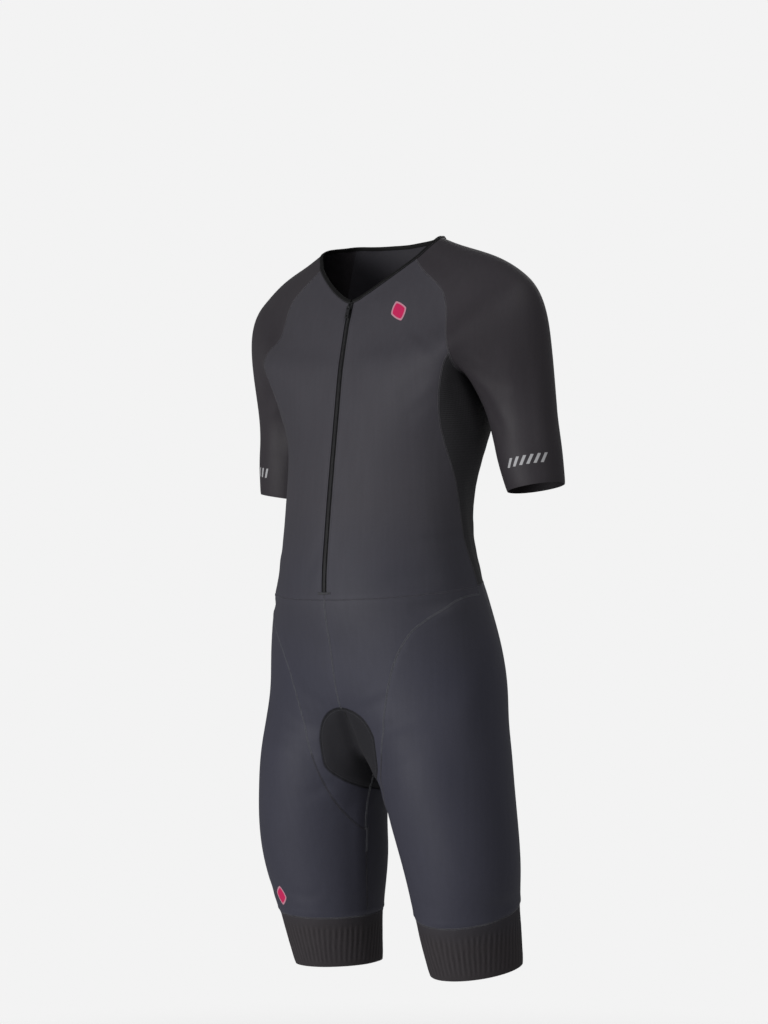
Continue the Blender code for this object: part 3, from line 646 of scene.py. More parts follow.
def finished(name, solid):
    """A bmesh as an object of that name, smooth but for sharp edges."""
    data = bpy.data.meshes.new(name)
    solid.to_mesh(data)
    solid.free()
    data.shade_smooth()
    data.set_sharp_from_angle(angle=math.radians(SHARP_EDGE_DEG))
    return placed(name, data)


def shell(panel, thick=CLOTH_THICK):
    """One panel as a thin closed wall of cloth, mapped in metres, with its marks for finishes."""
    number = PANELS.index(panel)
    faces = [face for face in form.faces if face.material_index == number]
    chosen = set(faces)
    borders = [(loop.vert, loop.link_loop_next.vert) for face in faces for loop in face.loops
               if chosen.isdisjoint(other for other in loop.edge.link_faces if other is not face)]
    solid = bmesh.new()
    solid.loops.layers.uv.new("UVMap")
    marks = [solid.verts.layers.float.new(name)
             for name in ("inside", "beside_seam", "below_seam", "above_hem")]
    outer, inner, places = {}, {}, {}
    for vert in dict.fromkeys(vert for face in faces for vert in face.verts):
        outer[vert] = solid.verts.new(vert.co)
        inner[vert] = solid.verts.new(vert.co - vert.normal * thick)
        by_seam = math.exp(-(to_seam[vert.index] / SEAM_MASK_WIDTH) ** 2)
        for inside, fresh in enumerate((outer[vert], inner[vert])):
            values = (inside, by_seam, to_cuff_seam[vert.index], to_hem[vert.index])
            for mark, value in zip(marks, values):
                fresh[mark] = value
    for face in faces:
        at = [loop[form.loops.layers.uv[0]].uv.copy() for loop in face.loops]
        places.update(zip(face.verts, at))
        mapped_face(solid, [outer[vert] for vert in face.verts], at)
        mapped_face(solid, [inner[vert] for vert in reversed(face.verts)], at[::-1])
    for start, end in borders:
        mapped_face(solid, (outer[end], outer[start], inner[start], inner[end]),
                    [places[vert] for vert in (end, start, start, end)])
    return finished(panel + "_cloth", solid)


def dress(piece, material, panel, body="suit"):
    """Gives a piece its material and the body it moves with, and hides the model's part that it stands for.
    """
    piece.data.materials.clear()
    piece.data.materials.append(material)
    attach(piece, body)
    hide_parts(panel)


def panel_sheets(material, panels):
    """Panels of one cloth, each made as a thin wall and dressed in it."""
    for panel in panels:
        piece = shell(panel)
        dress(piece, material, panel)


class Wire:
    """One output of a node, to feed into inputs or to calculate with."""

    def __init__(self, socket):
        self.socket = socket
        self.tree = socket.id_data

    def into(self, socket):
        """Feeds this output into an input."""
        self.tree.links.new(self.socket, socket)

    def math(self, operation, *others):
        """What a Math node makes of this output and others."""
        return add_node(self.tree, "ShaderNodeMath", enumerate((self, *others)), operation=operation)

    def vector(self, operation, other):
        """What a Vector Math node makes of this output and another."""
        second = "Scale" if operation == "SCALE" else 1
        return add_node(self.tree, "ShaderNodeVectorMath", {0: self, second: other}, operation=operation)

    def along(self, axis):
        """One part of this vector: X, Y or Z."""
        return add_node(self.tree, "ShaderNodeSeparateXYZ", {0: self}, axis)

    def ramp(self, start, end, kind="SMOOTHSTEP"):
        """This output as a share: 0 at the start and 1 at the end."""
        return add_node(self.tree, "ShaderNodeMapRange",
                        {"Value": self, "From Min": start, "From Max": end}, interpolation_type=kind)

    def __add__(self, other):
        return self.math("ADD", other)

    def __sub__(self, other):
        return self.math("SUBTRACT", other)

    def __mul__(self, other):
        return self.math("MULTIPLY", other)

    def __truediv__(self, other):
        return self.math("DIVIDE", other)


def add_node(tree, kind, inputs=(), output=0, **settings):
    """One output of a new node, whose inputs take values or other nodes' outputs."""
    made = tree.nodes.new(kind)
    for name, value in settings.items():
        setattr(made, name, value)
    for key, value in dict(inputs).items():
        if isinstance(value, Wire):
            value.into(made.inputs[key])
        else:
            made.inputs[key].default_value = value
    return Wire(made.outputs[output])


def new_group(name, kind, inputs, outputs):
    """A node group with its inputs and outputs by name, each given a kind or a first value."""
    group = bpy.data.node_groups.new(name, kind)
    for way, sockets in (("INPUT", inputs), ("OUTPUT", outputs)):
        for title, value in sockets.items():
            sort = value if isinstance(value, str) else type(value).__name__.capitalize()
            made = group.interface.new_socket(title, in_out=way, socket_type="NodeSocket" + sort)
            if value is not sort:
                made.default_value = value
    given = group.nodes.new("NodeGroupInput")
    out = group.nodes.new("NodeGroupOutput")
    return group, {title: Wire(given.outputs[title]) for title in inputs}, out.inputs


def soft_noise(tree, scale, detail=2.0):
    """Noise about zero over the piece, at one scale or at one for each axis."""
    place = add_node(tree, "ShaderNodeTexCoord", output="Object")
    scaled = add_node(tree, "ShaderNodeMapping",
                      {"Vector": place, "Scale": np.broadcast_to(scale, 3).tolist()})
    return add_node(tree, "ShaderNodeTexNoise", {"Vector": scaled, "Scale": 1.0, "Detail": detail}) - 0.5


def marked(tree, name):
    """The value that a piece's points carry under this name, in a material."""
    return add_node(tree, "ShaderNodeAttribute", output="Fac", attribute_name=name)


def relief_group(name, height):
    """A cloth's relief as a group: a height from 0 to 1 over its columns and rows."""
    sizes = {"Place": "Vector", "Column Width": 0.001, "Row Height": 0.001}
    group, given, out = new_group(name, "ShaderNodeTree", sizes, {"Height": "Float"})
    across = given["Place"].along("X") / given["Column Width"]
    up = given["Place"].along("Y") / given["Row Height"]
    height(group, across, up).into(out["Height"])
    return group


def wave(turns):
    """A sine wave of a number of turns."""
    return (turns * (2 * math.pi)).math("SINE")


def knit_loops(tree, across, up):
    """Columns of V-shaped loops."""
    from_column = across.math("PINGPONG", 0.5)
    loops = wave(from_column * LOOP_SLANT + up) * LOOP_HEIGHT
    return loops + from_column * COLUMN_HEIGHT + VALLEY_HEIGHT


def tone_group():
    """Slow changes over cloth: lengthwise streaks, mottling, fuzz, and seam edges paler from
    wear and from a painted sheen.
    """
    group, given, out = new_group(
        "cloth_tone", "ShaderNodeTree", {"Streaks": 0.2, "Mottle": 0.3, "Fuzz": 0.25, "Seam Wear and Sheen": 0.12},
        {"Tone": "Float", "Relief": "Float"})
    streaks = soft_noise(group, STREAK_SCALE) * given["Streaks"]
    mottle = soft_noise(group, MOTTLE_SCALE)
    fuzz = soft_noise(group, FUZZ_SCALE, 0.0) * given["Fuzz"]
    # Beside the seams the cloth is paler: partly wear, partly painted sheen.
    wear_and_sheen = marked(group, "beside_seam") * given["Seam Wear and Sheen"] + 0.5
    (streaks + fuzz + wear_and_sheen + mottle * given["Mottle"]).into(out["Tone"])
    (mottle + streaks).into(out["Relief"])
    return group


def mixed_colour(share, first, second):
    """The first colour where the share is 0, and the second where it is 1."""
    first, second = (colour if isinstance(colour, Wire) else (*colour, 1.0) for colour in (first, second))
    return add_node(share.tree, "ShaderNodeMix", {"Factor": share, "A": first, "B": second}, "Result",
                    data_type="RGBA")


def shaded(shade, colour, spread_by):
    """The colour, darker by a share where the shade is 0 and lighter by it where it is 1."""
    return mixed_colour(shade, *(tuple(value * (1 + by) for value in colour)
                                 for by in (-spread_by, spread_by)))


def new_material(name):
    """A new material, its tree and its shader's inputs."""
    material = bpy.data.materials.new(name)
    material.use_nodes = True
    return material, material.node_tree, material.node_tree.nodes["Principled BSDF"].inputs


def cloth(name, colour, weave, columns, rows, depth, contrast=0.3, spread_by=0.35,
          streaks=0.2, roughness=0.6, sheen=0.04, fade=None):
    """A cloth finish. The colour darkens and lightens by a share, spread_by, with the tone and
    with the weave's height: darker in the weave's valleys and holes as painted shade, and
    lighter on its crests as painted light.

    A fade is another colour, and the heights where it begins and where it is complete.
    """
    material, tree, skin = new_material(name)
    cloth_map = add_node(tree, "ShaderNodeUVMap", uv_map="UVMap")
    loops = add_node(tree, "ShaderNodeGroup", node_tree=weave, inputs={
        "Place": cloth_map, "Column Width": columns, "Row Height": rows})
    tone = add_node(tree, "ShaderNodeGroup", {"Streaks": streaks}, node_tree=cloth_tone)
    # The weave's height darkens the colour in its valleys and lightens it on its crests: painted shade and
    # light, added to the cloth's own tone.
    shade = (loops - 0.5) * contrast + tone
    face = shaded(shade, colour, spread_by)
    if fade:
        other, start_z, end_z = fade
        height = add_node(tree, "ShaderNodeTexCoord", output="Object").along("Z")
        face = mixed_colour(height.ramp(start_z, end_z, "LINEAR"), face, shaded(shade, other, spread_by))
    back = tuple(value * INSIDE_SHADE for value in colour)
    mixed_colour(marked(tree, "inside"), face, back).into(skin["Base Color"])
    (shade * -ROUGHNESS_PLAY + (roughness + ROUGHNESS_PLAY / 2)).into(skin["Roughness"])
    relief = Wire(tone.socket.node.outputs["Relief"]) * TONE_RELIEF + loops
    add_node(tree, "ShaderNodeBump", {"Height": relief, "Distance": depth}).into(skin["Normal"])
    skin["Specular IOR Level"].default_value = CLOTH_SPECULAR
    skin["Sheen Weight"].default_value = sheen
    skin["Sheen Roughness"].default_value = SHEEN_ROUGHNESS
    return material


stretch_knit = relief_group("stretch_knit", knit_loops)
cloth_tone = tone_group()
WAIST_COLOUR = (0.0530, 0.0520, 0.0680)
jersey = cloth("charcoal_jersey", (0.0615, 0.0582, 0.0705), stretch_knit, columns=0.0010,
               rows=0.0008, depth=0.00007, fade=(WAIST_COLOUR, -0.370, -0.465))
panel_sheets(jersey, FRONTS)
panel_sheets(jersey, ("back",))

# ---- The sides ----
# A panel of near-black open mesh runs under each arm from the armhole to the waist, to let
# heat out. Its holes are two millimetres apart.
HOLE_EDGE = 0.85
THREAD_EDGE = 0.45


def mesh_holes(tree, across, up):
    """Rounded holes in staggered rows: 0 in a hole and 1 on the threads. The holes are not
    cut; through the cloth's colour they come out dark, as painted shade.
    """
    hollow = wave(across / 2) * wave(up / 2)
    return hollow.math("ABSOLUTE").ramp(HOLE_EDGE, THREAD_EDGE)


# The mesh's holes are painted: its colour darkens in them, as the shade seen through them.
side_mesh = cloth("black_mesh", (0.0240, 0.0234, 0.0260), relief_group("open_mesh", mesh_holes),
                  columns=0.0020, rows=0.0022, depth=0.00020, contrast=0.9, spread_by=0.6,
                  roughness=0.68, sheen=0.0)
panel_sheets(side_mesh, ("side_left", "side_right"))

# ---- The sleeves ----
# Each raglan sleeve is one piece of thin warm-charcoal knit from the neckline to a clean-cut
# hem, which needs no band. Fine ribs along the arm show only close up.
sleeve_knit = cloth("sleeve_knit", (0.0435, 0.0382, 0.0450), stretch_knit, columns=0.0014,
                    rows=0.0007, depth=0.00008, contrast=0.35, streaks=0.25, roughness=0.56, sheen=0.03)
panel_sheets(sleeve_knit, SLEEVES)

# ---- The shorts ----
# The shorts are of a denser, bluish stretch knit: a front for each side, joined down the
# centre front, and a leg for each side that wraps the thigh and the seat.
shorts_knit = cloth("shorts_knit", (0.0484, 0.0486, 0.0700), stretch_knit, columns=0.0009,
                    rows=0.0009, depth=0.00007, roughness=0.58, fade=(WAIST_COLOUR, -0.600, -0.505))
panel_sheets(shorts_knit, SHORTS)
panel_sheets(shorts_knit, LEGS)

# ---- The leg cuffs ----
# Each leg ends in a wide elastic band, sewn round the leg and a little tighter than it. Its
# lower part is ribbed up and down, in ribs that waver as knitted ribs do.
CUFF_AXIS = (0.1252, 0.0400)
RIBS = 57
RIB_DEPTH = 0.00024
RIB_START = 0.008
RIB_FULL = 0.022
RIB_END = 0.0030
RIB_FADE = 0.0120
RIB_WAVER = 4.8
RIB_WAVER_SCALE = 26.0
RIB_SLANT = 22.0
RIB_STRENGTH_SCALE = 75.0
RIB_STRENGTH_PLAY = 2.6
RIB_LIFT = 0.35
BAND_GRAIN = 0.2
BAND_ROWS = 0.3


def carried(tree, name, kind="FLOAT"):
    """What a mesh's points carry under this name, in Geometry Nodes."""
    return add_node(tree, "GeometryNodeInputNamedAttribute", {"Name": name}, "Attribute", data_type=kind)


def close_tree(geometry, given, out):
    """Ends a tree with all that it made as a plain mesh of one material."""
    whole = add_node(geometry.tree, "GeometryNodeRealizeInstances", {"Geometry": geometry})
    add_node(geometry.tree, "GeometryNodeSetMaterial",
             {"Geometry": whole, "Material": given["Material"]}).into(out["Geometry"])


def rib_tree():
    """Ribs round an upright tube: a wave of its angle, faded in below the seam."""
    tree, given, out = new_group("ribs_round_a_leg", "GeometryNodeTree", {
        "Geometry": "Geometry", "Ribs": 40, "Depth": 0.0005, "Axis": "Vector", "Material": "Material",
    }, {"Geometry": "Geometry"})
    fine = add_node(tree, "GeometryNodeSubdivideMesh", {"Mesh": given["Geometry"], "Level": 1})
    place = add_node(tree, "GeometryNodeInputPosition")
    offset = place.vector("SUBTRACT", given["Axis"])
    angle = offset.along("Y").math("ARCTAN2", offset.along("X"))
    waver = add_node(tree, "ShaderNodeTexNoise", {"Vector": place, "Scale": RIB_WAVER_SCALE})
    turns = angle * given["Ribs"] + waver * RIB_WAVER + offset.along("Z") * RIB_SLANT
    spots = add_node(tree, "ShaderNodeTexNoise", {"Vector": place, "Scale": RIB_STRENGTH_SCALE})
    rib = turns.math("SINE") * (spots * RIB_STRENGTH_PLAY + (1 - RIB_STRENGTH_PLAY / 2))
    rib = rib * carried(tree, "below_seam").ramp(RIB_START, RIB_FULL)
    rib = rib * carried(tree, "above_hem").ramp(RIB_END, RIB_FADE)
    height = rib * given["Depth"] * (carried(tree, "inside") * -1 + 1)
    push = add_node(tree, "GeometryNodeInputNormal").vector("SCALE", height)
    ribbed = add_node(tree, "GeometryNodeSetPosition", {"Geometry": fine, "Offset": push})
    close_tree(add_node(tree, "GeometryNodeStoreNamedAttribute",
                        {"Geometry": ribbed, "Name": "rib", "Value": rib}), given, out)
    return tree


def grown(carrier, tree, values):
    """Puts a Geometry Nodes tree on an object and keeps only the plain mesh it makes."""
    growth = carrier.modifiers.new("growth", "NODES")
    growth.node_group = tree
    for socket in tree.interface.items_tree:
        if socket.in_out == "INPUT" and socket.name in values:
            growth[socket.identifier] = values[socket.name]
    made = bpy.data.meshes.new_from_object(evaluated(carrier))
    carrier.modifiers.clear()
    carrier.data = made
    return carrier


def band_weave(tree, across, up):
    """An elastic band's close rows, with a finer grain along them and its ribs over all.
    In the colour the ribs' crests come out lighter and the hollows between them darker:
    painted light and shade.
    """
    weave = wave(across) * BAND_GRAIN + wave(up) * BAND_ROWS + 0.5
    return weave + marked(tree, "rib") * RIB_LIFT


ribs_round_a_leg = rib_tree()
cuff_band = cloth("cuff_band", (0.0405, 0.0372, 0.0450), relief_group("elastic_band", band_weave),
                  columns=0.0010, rows=0.0012, depth=0.00008, contrast=0.8, roughness=0.72,
                  sheen=0.0, fade=((0.0410, 0.0355, 0.0392), -0.935, -0.965))
for side, panel in ((1, "leg_cuff_left"), (-1, "leg_cuff_right")):
    piece = grown(shell(panel), ribs_round_a_leg, {
        "Ribs": RIBS, "Depth": RIB_DEPTH, "Axis": (side * CUFF_AXIS[0], CUFF_AXIS[1], 0.0),
        "Material": cuff_band,
    })
    dress(piece, cuff_band, panel)

# ---- The saddle pad ----
# A thin moulded pad runs under the crotch, with a cover of brushed knit. It is sewn into the
# shorts round its edge, swells a little inside the seam and has a groove down its middle.
PAD_THICK = 0.0030
FIBRE_SCALE = (1500.0, 1500.0, 600.0)
FIBRE_HEIGHT = 1.2
FIBRE_MIDDLE = 0.3
UNDER_FIBRES = 0.4


def brushed_fibres(tree, across, up):
    """Short brushed fibres over a fine knit."""
    knit = knit_loops(tree, across, up) * UNDER_FIBRES
    return soft_noise(tree, FIBRE_SCALE) * FIBRE_HEIGHT + FIBRE_MIDDLE + knit


pad_cloth = cloth("pad_cloth", (0.0165, 0.0160, 0.0203), relief_group("brushed_face", brushed_fibres),
                  columns=0.0008, rows=0.0008, depth=0.00010, contrast=0.5, roughness=0.80,
                  sheen=0.06)
pad = shell("saddle_pad", PAD_THICK)
dress(pad, pad_cloth, "saddle_pad")

# ---- The neck binding ----
# A narrow elastic tape is folded over the neckline and clasps the panels' raw edge. It runs
# from one side of the zip round the back of the neck to the other.
BINDING_STEP = 0.0025
BINDING_END_X = 0.0007
BINDING_PROFILE = metres(
    # down from the fold, outward
    (5.5, 0.15), (5.3, 0.6), (4.6, 0.8), (1.8, 0.8), (0.6, 0.6), (-0.1, 0.1), (-0.4, -0.5),
    (-0.1, -1.1), (0.6, -1.6), (1.8, -1.8), (4.6, -1.8), (5.3, -1.6), (5.5, -1.15), (4.6, -1.05),
    (1.6, -1.05), (0.6, -0.5), (1.6, 0.05), (4.6, 0.05))


def chained(edges):
    """Edges that follow each other, as an ordered list of the form's vertices."""
    beside = {}
    for edge in edges:
        for vert in edge.verts:
            beside.setdefault(vert, []).append(edge.other_vert(vert))
    first = min(beside, key=lambda vert: (len(beside[vert]), vert.index))
    line, last = [first], None
    while True:
        following = [vert for vert in beside[line[-1]] if vert is not last]
        if not following or following[0] is first:
            return line
        last = line[-1]
        line.append(following[0])


def even_line(path, outward, step):
    """A line and its outward directions, at equal steps."""
    count = max(2, round(walked(path)[-1] / step) + 1)
    return evenly(path, path, count), unit(evenly(path, outward, count))


def tube(name, rows, around, along):
    """Closed rows of points joined in order, with both ends closed, mapped in metres."""
    solid = bmesh.new()
    solid.loops.layers.uv.new("UVMap")
    rows = [[solid.verts.new(point) for point in row] for row in rows]
    count = len(rows[0])
    for at in range(len(rows) - 1):
        for i in range(count):
            corners = ((i, at), (i + 1, at), (i + 1, at + 1), (i, at + 1))
            mapped_face(solid, [rows[level][step % count] for step, level in corners],
                        [(around[step], along[level]) for step, level in corners])
    solid.faces.new(rows[0][::-1])
    solid.faces.new(rows[-1])
    bmesh.ops.recalc_face_normals(solid, faces=solid.faces)
    return finished(name, solid)


neckline = chained(neck_edges)
foot = min(range(len(neckline)), key=lambda i: neckline[i].co.y + abs(neckline[i].co.x))
neckline = neckline[foot:] + neckline[:foot + 1]
neck_path = np.array([vert.co for vert in neckline])
neck_outward = np.array([vert.normal for vert in neckline])
kept = (np.abs(neck_path[:, 0]) > BINDING_END_X) | (neck_path[:, 1] >= 0)
neck_path, neck_outward = even_line(neck_path[kept], neck_outward[kept], BINDING_STEP)
neck_down = unit(np.cross(np.gradient(neck_path, axis=0), neck_outward))
neck_down *= -np.sign(neck_down[len(neck_down) // 2, 2])
neck_tape = cloth("neck_tape", (0.0045, 0.0045, 0.0048), stretch_knit, columns=0.0007,
                  rows=0.0007, depth=0.00006, roughness=0.70, sheen=0.0)
binding = tube("neck_binding_tape", [
    point + np.outer(BINDING_PROFILE[:, 0], down) + np.outer(BINDING_PROFILE[:, 1], outward)
    for point, down, outward in zip(neck_path, neck_down, neck_outward)
], walked(np.vstack([BINDING_PROFILE, BINDING_PROFILE[:1]])), walked(neck_path))
dress(binding, neck_tape, "neck_binding")

# ---- The zip's tapes and teeth ----
# A woven tape lies behind each front's edge, with the nylon coil along the middle where the
# two halves meet. The zip runs from the foot of the V to the waist.
ZIP_TOP_Z = -0.0905
ZIP_BOTTOM_Z = -0.4890
TAPE_TOP_Z = -0.0865
TAPE_BOTTOM_Z = -0.4930
TAPE_ACROSS = (0.0002, 0.0025, 0.0045, 0.0075, 0.0105)
TAPE_FRONT = -0.0015
TAPE_THICK = 0.0009
TAPE_ROWS = 130
CORE_ACROSS = (-0.0016, -0.0008, 0.0008, 0.0016)
CORE_FRONT = -0.0006
CORE_THICK = 0.0008
CENTRE_GAP = 0.0008
TOOTH_PITCH = 0.00135
TOOTH_ASIDE = 0.00085
TOOTH_RADIUS = 0.00042
TOOTH_SIZES = {"Pitch": TOOTH_PITCH, "Length": 0.0019, "Radius": TOOTH_RADIUS, "Rise": 0.00025}
SLIDER_FOOT = 0.0106
STITCH_SEED = 5
TWILL_TURN = 2.0
TWILL_HEIGHT = 0.3
YARN_HEIGHT = 0.2
PATCH_SCALE = 300.0
SHADE_ROUGHNESS = 0.15
SHADE_MIDDLE = 0.08


def on_front(x, z):
    """The form's point and outward direction on the front, at one place across and up."""
    return surface.ray_cast(Vector((x, -1, z)), Vector((0, 1, 0)))[:2]


def on_centre(z):
    """The point and outward direction on the centre front at one height."""
    left, left_normal = on_front(CENTRE_GAP, z)
    right, right_normal = on_front(-CENTRE_GAP, z)
    outward = (left_normal + right_normal).normalized()
    outward.x = 0
    return (left + right) / 2, outward.normalized()


def zip_strip(name, across, front, thick, top_z, bottom_z):
    """A strip down the centre front that follows the form at the given places across."""
    heights = np.linspace(top_z, bottom_z, TAPE_ROWS)
    rows = []
    for z in heights:
        if across[0] * across[-1] < 0:
            middle, outward = on_centre(z)
            found = [(middle + Vector((x, 0, 0)), outward) for x in across]
        else:
            found = [on_front(x, z) for x in across]
        rows.append([place + outward * front for place, outward in found]
                    + [place + outward * (front - thick) for place, outward in found[::-1]])
    return tube(name, rows, [*across, *across[::-1], across[0]], heights)


def herringbone(tree, across, up):
    """A woven herringbone, which turns at the tape's middle."""
    twill = wave(across.math("PINGPONG", TWILL_TURN) + up) * TWILL_HEIGHT
    return twill + wave(across * 2) * YARN_HEIGHT + 0.5


def stitch_tree():
    """Short arched rods, such as stitches, set along lines that know which way is outward."""
    tree, given, out = new_group("row_of_stitches", "GeometryNodeTree", {
        "Geometry": "Geometry", "Pitch": 0.003, "Length": 0.0024, "Radius": 0.0002, "Rise": 0.0001,
        "Aside": 0.0, "Lift": 0.0, "Turn": 0.0, "Unevenness": 0.0, "Material": "Material",
    }, {"Geometry": "Geometry"})
    line = add_node(tree, "GeometryNodeMeshToCurve", {"Mesh": given["Geometry"]})
    spaced = add_node(tree, "GeometryNodeResampleCurve", {"Curve": line, "Length": given["Pitch"]},
                      mode="LENGTH")
    outward = carried(tree, "outward", "FLOAT_VECTOR")
    along = add_node(tree, "GeometryNodeInputTangent")
    aside = along.vector("CROSS_PRODUCT", outward).vector("SCALE", given["Aside"])
    moved = aside.vector("ADD", outward.vector("SCALE", given["Lift"]))
    row = add_node(tree, "GeometryNodeSetPosition", {"Geometry": spaced, "Offset": moved})
    half = given["Length"] * 0.5
    arch = add_node(tree, "GeometryNodeCurveQuadraticBezier", {
        "Resolution": 3,
        "Start": add_node(tree, "ShaderNodeCombineXYZ", {"X": half * -1}),
        "Middle": add_node(tree, "ShaderNodeCombineXYZ", {"Z": given["Rise"]}),
        "End": add_node(tree, "ShaderNodeCombineXYZ", {"X": half}),
    })
    section = add_node(tree, "GeometryNodeCurvePrimitiveCircle",
                       {"Resolution": 4, "Radius": given["Radius"]})
    stitch = add_node(tree, "GeometryNodeCurveToMesh",
                      {"Curve": arch, "Profile Curve": section, "Fill Caps": True})
    facing = add_node(tree, "FunctionNodeAxesToRotation",
                      {"Primary Axis": outward, "Secondary Axis": along},
                      primary_axis="Z", secondary_axis="X")
    stitches = add_node(tree, "GeometryNodeInstanceOnPoints",
                        {"Points": row, "Instance": stitch, "Rotation": facing})
    play = add_node(tree, "FunctionNodeRandomValue", {
        "Min": given["Unevenness"] * -1, "Max": given["Unevenness"], "Seed": STITCH_SEED,
    }, "Value", data_type="FLOAT")
    turn = add_node(tree, "ShaderNodeCombineXYZ", {"Z": given["Turn"] + play})
    turned = add_node(tree, "GeometryNodeRotateInstances", {"Instances": stitches, "Rotation": turn})
    close_tree(add_node(tree, "GeometryNodeSetShadeSmooth", {"Geometry": turned}), given, out)
    return tree


def guide_lines(name, lines):
    """A mesh of open lines, each given as its points and their outward directions."""
    data = bpy.data.meshes.new(name)
    edges, first = [], 0
    for line, _ in lines:
        edges += [(first + i, first + i + 1) for i in range(len(line) - 1)]
        first += len(line)
    data.from_pydata(np.concatenate([line for line, _ in lines]).tolist(), edges, [])
    facing = np.concatenate([outward for _, outward in lines])
    mark = data.attributes.new("outward", "FLOAT_VECTOR", "POINT")
    mark.data.foreach_set("vector", facing.astype(np.float32).ravel())
    return placed(name, data)


def joined(name, pieces):
    """Several plain meshes as one piece."""
    with bpy.context.temp_override(active_object=pieces[0], selected_editable_objects=pieces):
        bpy.ops.object.join()
    pieces[0].name = name
    pieces[0].data.name = name
    return pieces[0]


def moulded(name, colour, roughness, metallic=0.0, grain=1800.0, depth=0.00002, spread_by=0.25):
    """A moulded or lacquered finish: small mottling, and a fine grain in the surface."""
    material, tree, skin = new_material(name)
    speck = soft_noise(tree, grain)
    shade = speck + soft_noise(tree, PATCH_SCALE) + 0.5
    shaded(shade, colour, spread_by).into(skin["Base Color"])
    (shade * SHADE_ROUGHNESS + (roughness - SHADE_MIDDLE)).into(skin["Roughness"])
    add_node(tree, "ShaderNodeBump", {"Height": speck, "Distance": depth}).into(skin["Normal"])
    skin["Metallic"].default_value = metallic
    return material


row_of_stitches = stitch_tree()
tape_weave = cloth("zip_tape_weave", (0.0190, 0.0190, 0.0205), relief_group("tape_twill", herringbone),
                   columns=0.0016, rows=0.0014, depth=0.00010, contrast=0.7, roughness=0.72,
                   sheen=0.0)
for side, word in ((1, "left"), (-1, "right")):
    tape = zip_strip(f"zip_tape_{word}_woven", [side * x for x in TAPE_ACROSS],
                     TAPE_FRONT, TAPE_THICK, TAPE_TOP_Z, TAPE_BOTTOM_Z)
    dress(tape, tape_weave, f"zip_tape_{word}")

nylon = moulded("zip_nylon", (0.020, 0.020, 0.022), roughness=0.45)
coil_top_z = ZIP_TOP_Z - SLIDER_FOOT
core = zip_strip("zip_core", CORE_ACROSS, CORE_FRONT, CORE_THICK, coil_top_z, ZIP_BOTTOM_Z)
core.data.materials.append(nylon)
teeth = [core]
for number, side in enumerate((1, -1)):
    start_z = coil_top_z - number * TOOTH_PITCH / 2
    line = as_line([on_centre(z) for z in np.linspace(start_z, ZIP_BOTTOM_Z, TAPE_ROWS)])
    teeth.append(grown(guide_lines(f"teeth_{number}", [line]), row_of_stitches, TOOTH_SIZES | {
        "Aside": side * TOOTH_ASIDE, "Lift": CORE_FRONT + TOOTH_RADIUS, "Turn": math.pi / 2,
        "Material": nylon,
    }))
teeth = joined("zip_teeth", teeth)
dress(teeth, nylon, "zip_coil")

# ---- The slider and its pull ----
# The slider is cast zinc with a black lacquer: a shield-shaped body round the coil, and a
# bridge that holds the pull. The pull is stamped, with a window at its top and a small hole.
# The outlines run across and down. The bridge's run down and outward.
SLIDER_BODY = metres((2.6, 0), (3.6, 1), (3.8, 3.2), (3.4, 6), (3, 8.8), (2.6, 10))
SLIDER_BODY_OUT = (-0.0011, 0.0016)
SLIDER_MIDDLE = (0.0, 0.005)
SLIDER_FACE_SHARE = 0.80
SLIDER_FACE_OUT = (0.0012, 0.0023)
SLIDER_BEVEL = 0.0003
BRIDGE = metres(
    (1, 1.2), (1.2, 3), (2, 4.4), (3.6, 5.1), (6.2, 5.2), (8, 4.5), (8.9, 3), (9.2, 1.2),
    (7.6, 2), (7.5, 3.2), (6.6, 4), (4, 4), (2.9, 3.4), (2.6, 2))
BRIDGE_OUT = (-0.0009, 0.0009)
BRIDGE_BEVEL = 0.00025
PULL_SHAPE = metres(
    (2.4, 4.5), (3, 5.2), (3, 8), (2.6, 11.5), (2.5, 15), (2.8, 19), (3, 21.5), (2.6, 23.3), (1.3, 24))
PULL_WINDOW = metres((-1.3, 5.6), (1.3, 5.6), (1.3, 10.4), (-1.3, 10.4))
PULL_HOLE_Y = 0.0205
PULL_HOLE_RADIUS = 0.0012
PULL_HOLE_POINTS = 20
PULL_OUT = (0.0027, 0.0037)
PULL_BEVEL = 0.0002
GRIPS = metres((12.5, 1.3), (14.5, 1.2), (16.5, 1.3))
GRIP_HEIGHT = 0.0005
GRIP_RISE = 0.00015
OUTLINE_WELD = 1e-6


def both_sides(half):
    """A closed outline from the half on one side of its middle line."""
    return np.vstack([half, half[::-1] * (-1, 1)])


def stamped(name, outlines, out, bevel, stand):
    """Flat outlines, the first with the rest as holes, thickened and stood up by a matrix."""
    curve = bpy.data.curves.new(name, "CURVE")
    curve.dimensions = "2D"
    curve.fill_mode = "BOTH"
    curve.extrude = (out[1] - out[0]) / 2 - bevel
    curve.bevel_depth = bevel
    curve.bevel_resolution = 2
    curve.offset = -bevel
    for outline in outlines:
        spline = curve.splines.new("POLY")
        spline.points.add(len(outline) - 1)
        spline.use_cyclic_u = True
        for point, (x, y) in zip(spline.points, outline):
            point.co = (x, y, 0, 1)
    drawn = placed(name, curve)
    flat = bpy.data.meshes.new_from_object(evaluated(drawn))
    bpy.data.objects.remove(drawn)
    solid = bmesh.new()
    solid.from_mesh(flat)
    bmesh.ops.remove_doubles(solid, verts=solid.verts, dist=OUTLINE_WELD)
    solid.transform(stand @ Matrix.Translation((0, 0, (out[0] + out[1]) / 2)))
    bmesh.ops.recalc_face_normals(solid, faces=solid.faces)
    return finished(name, solid)


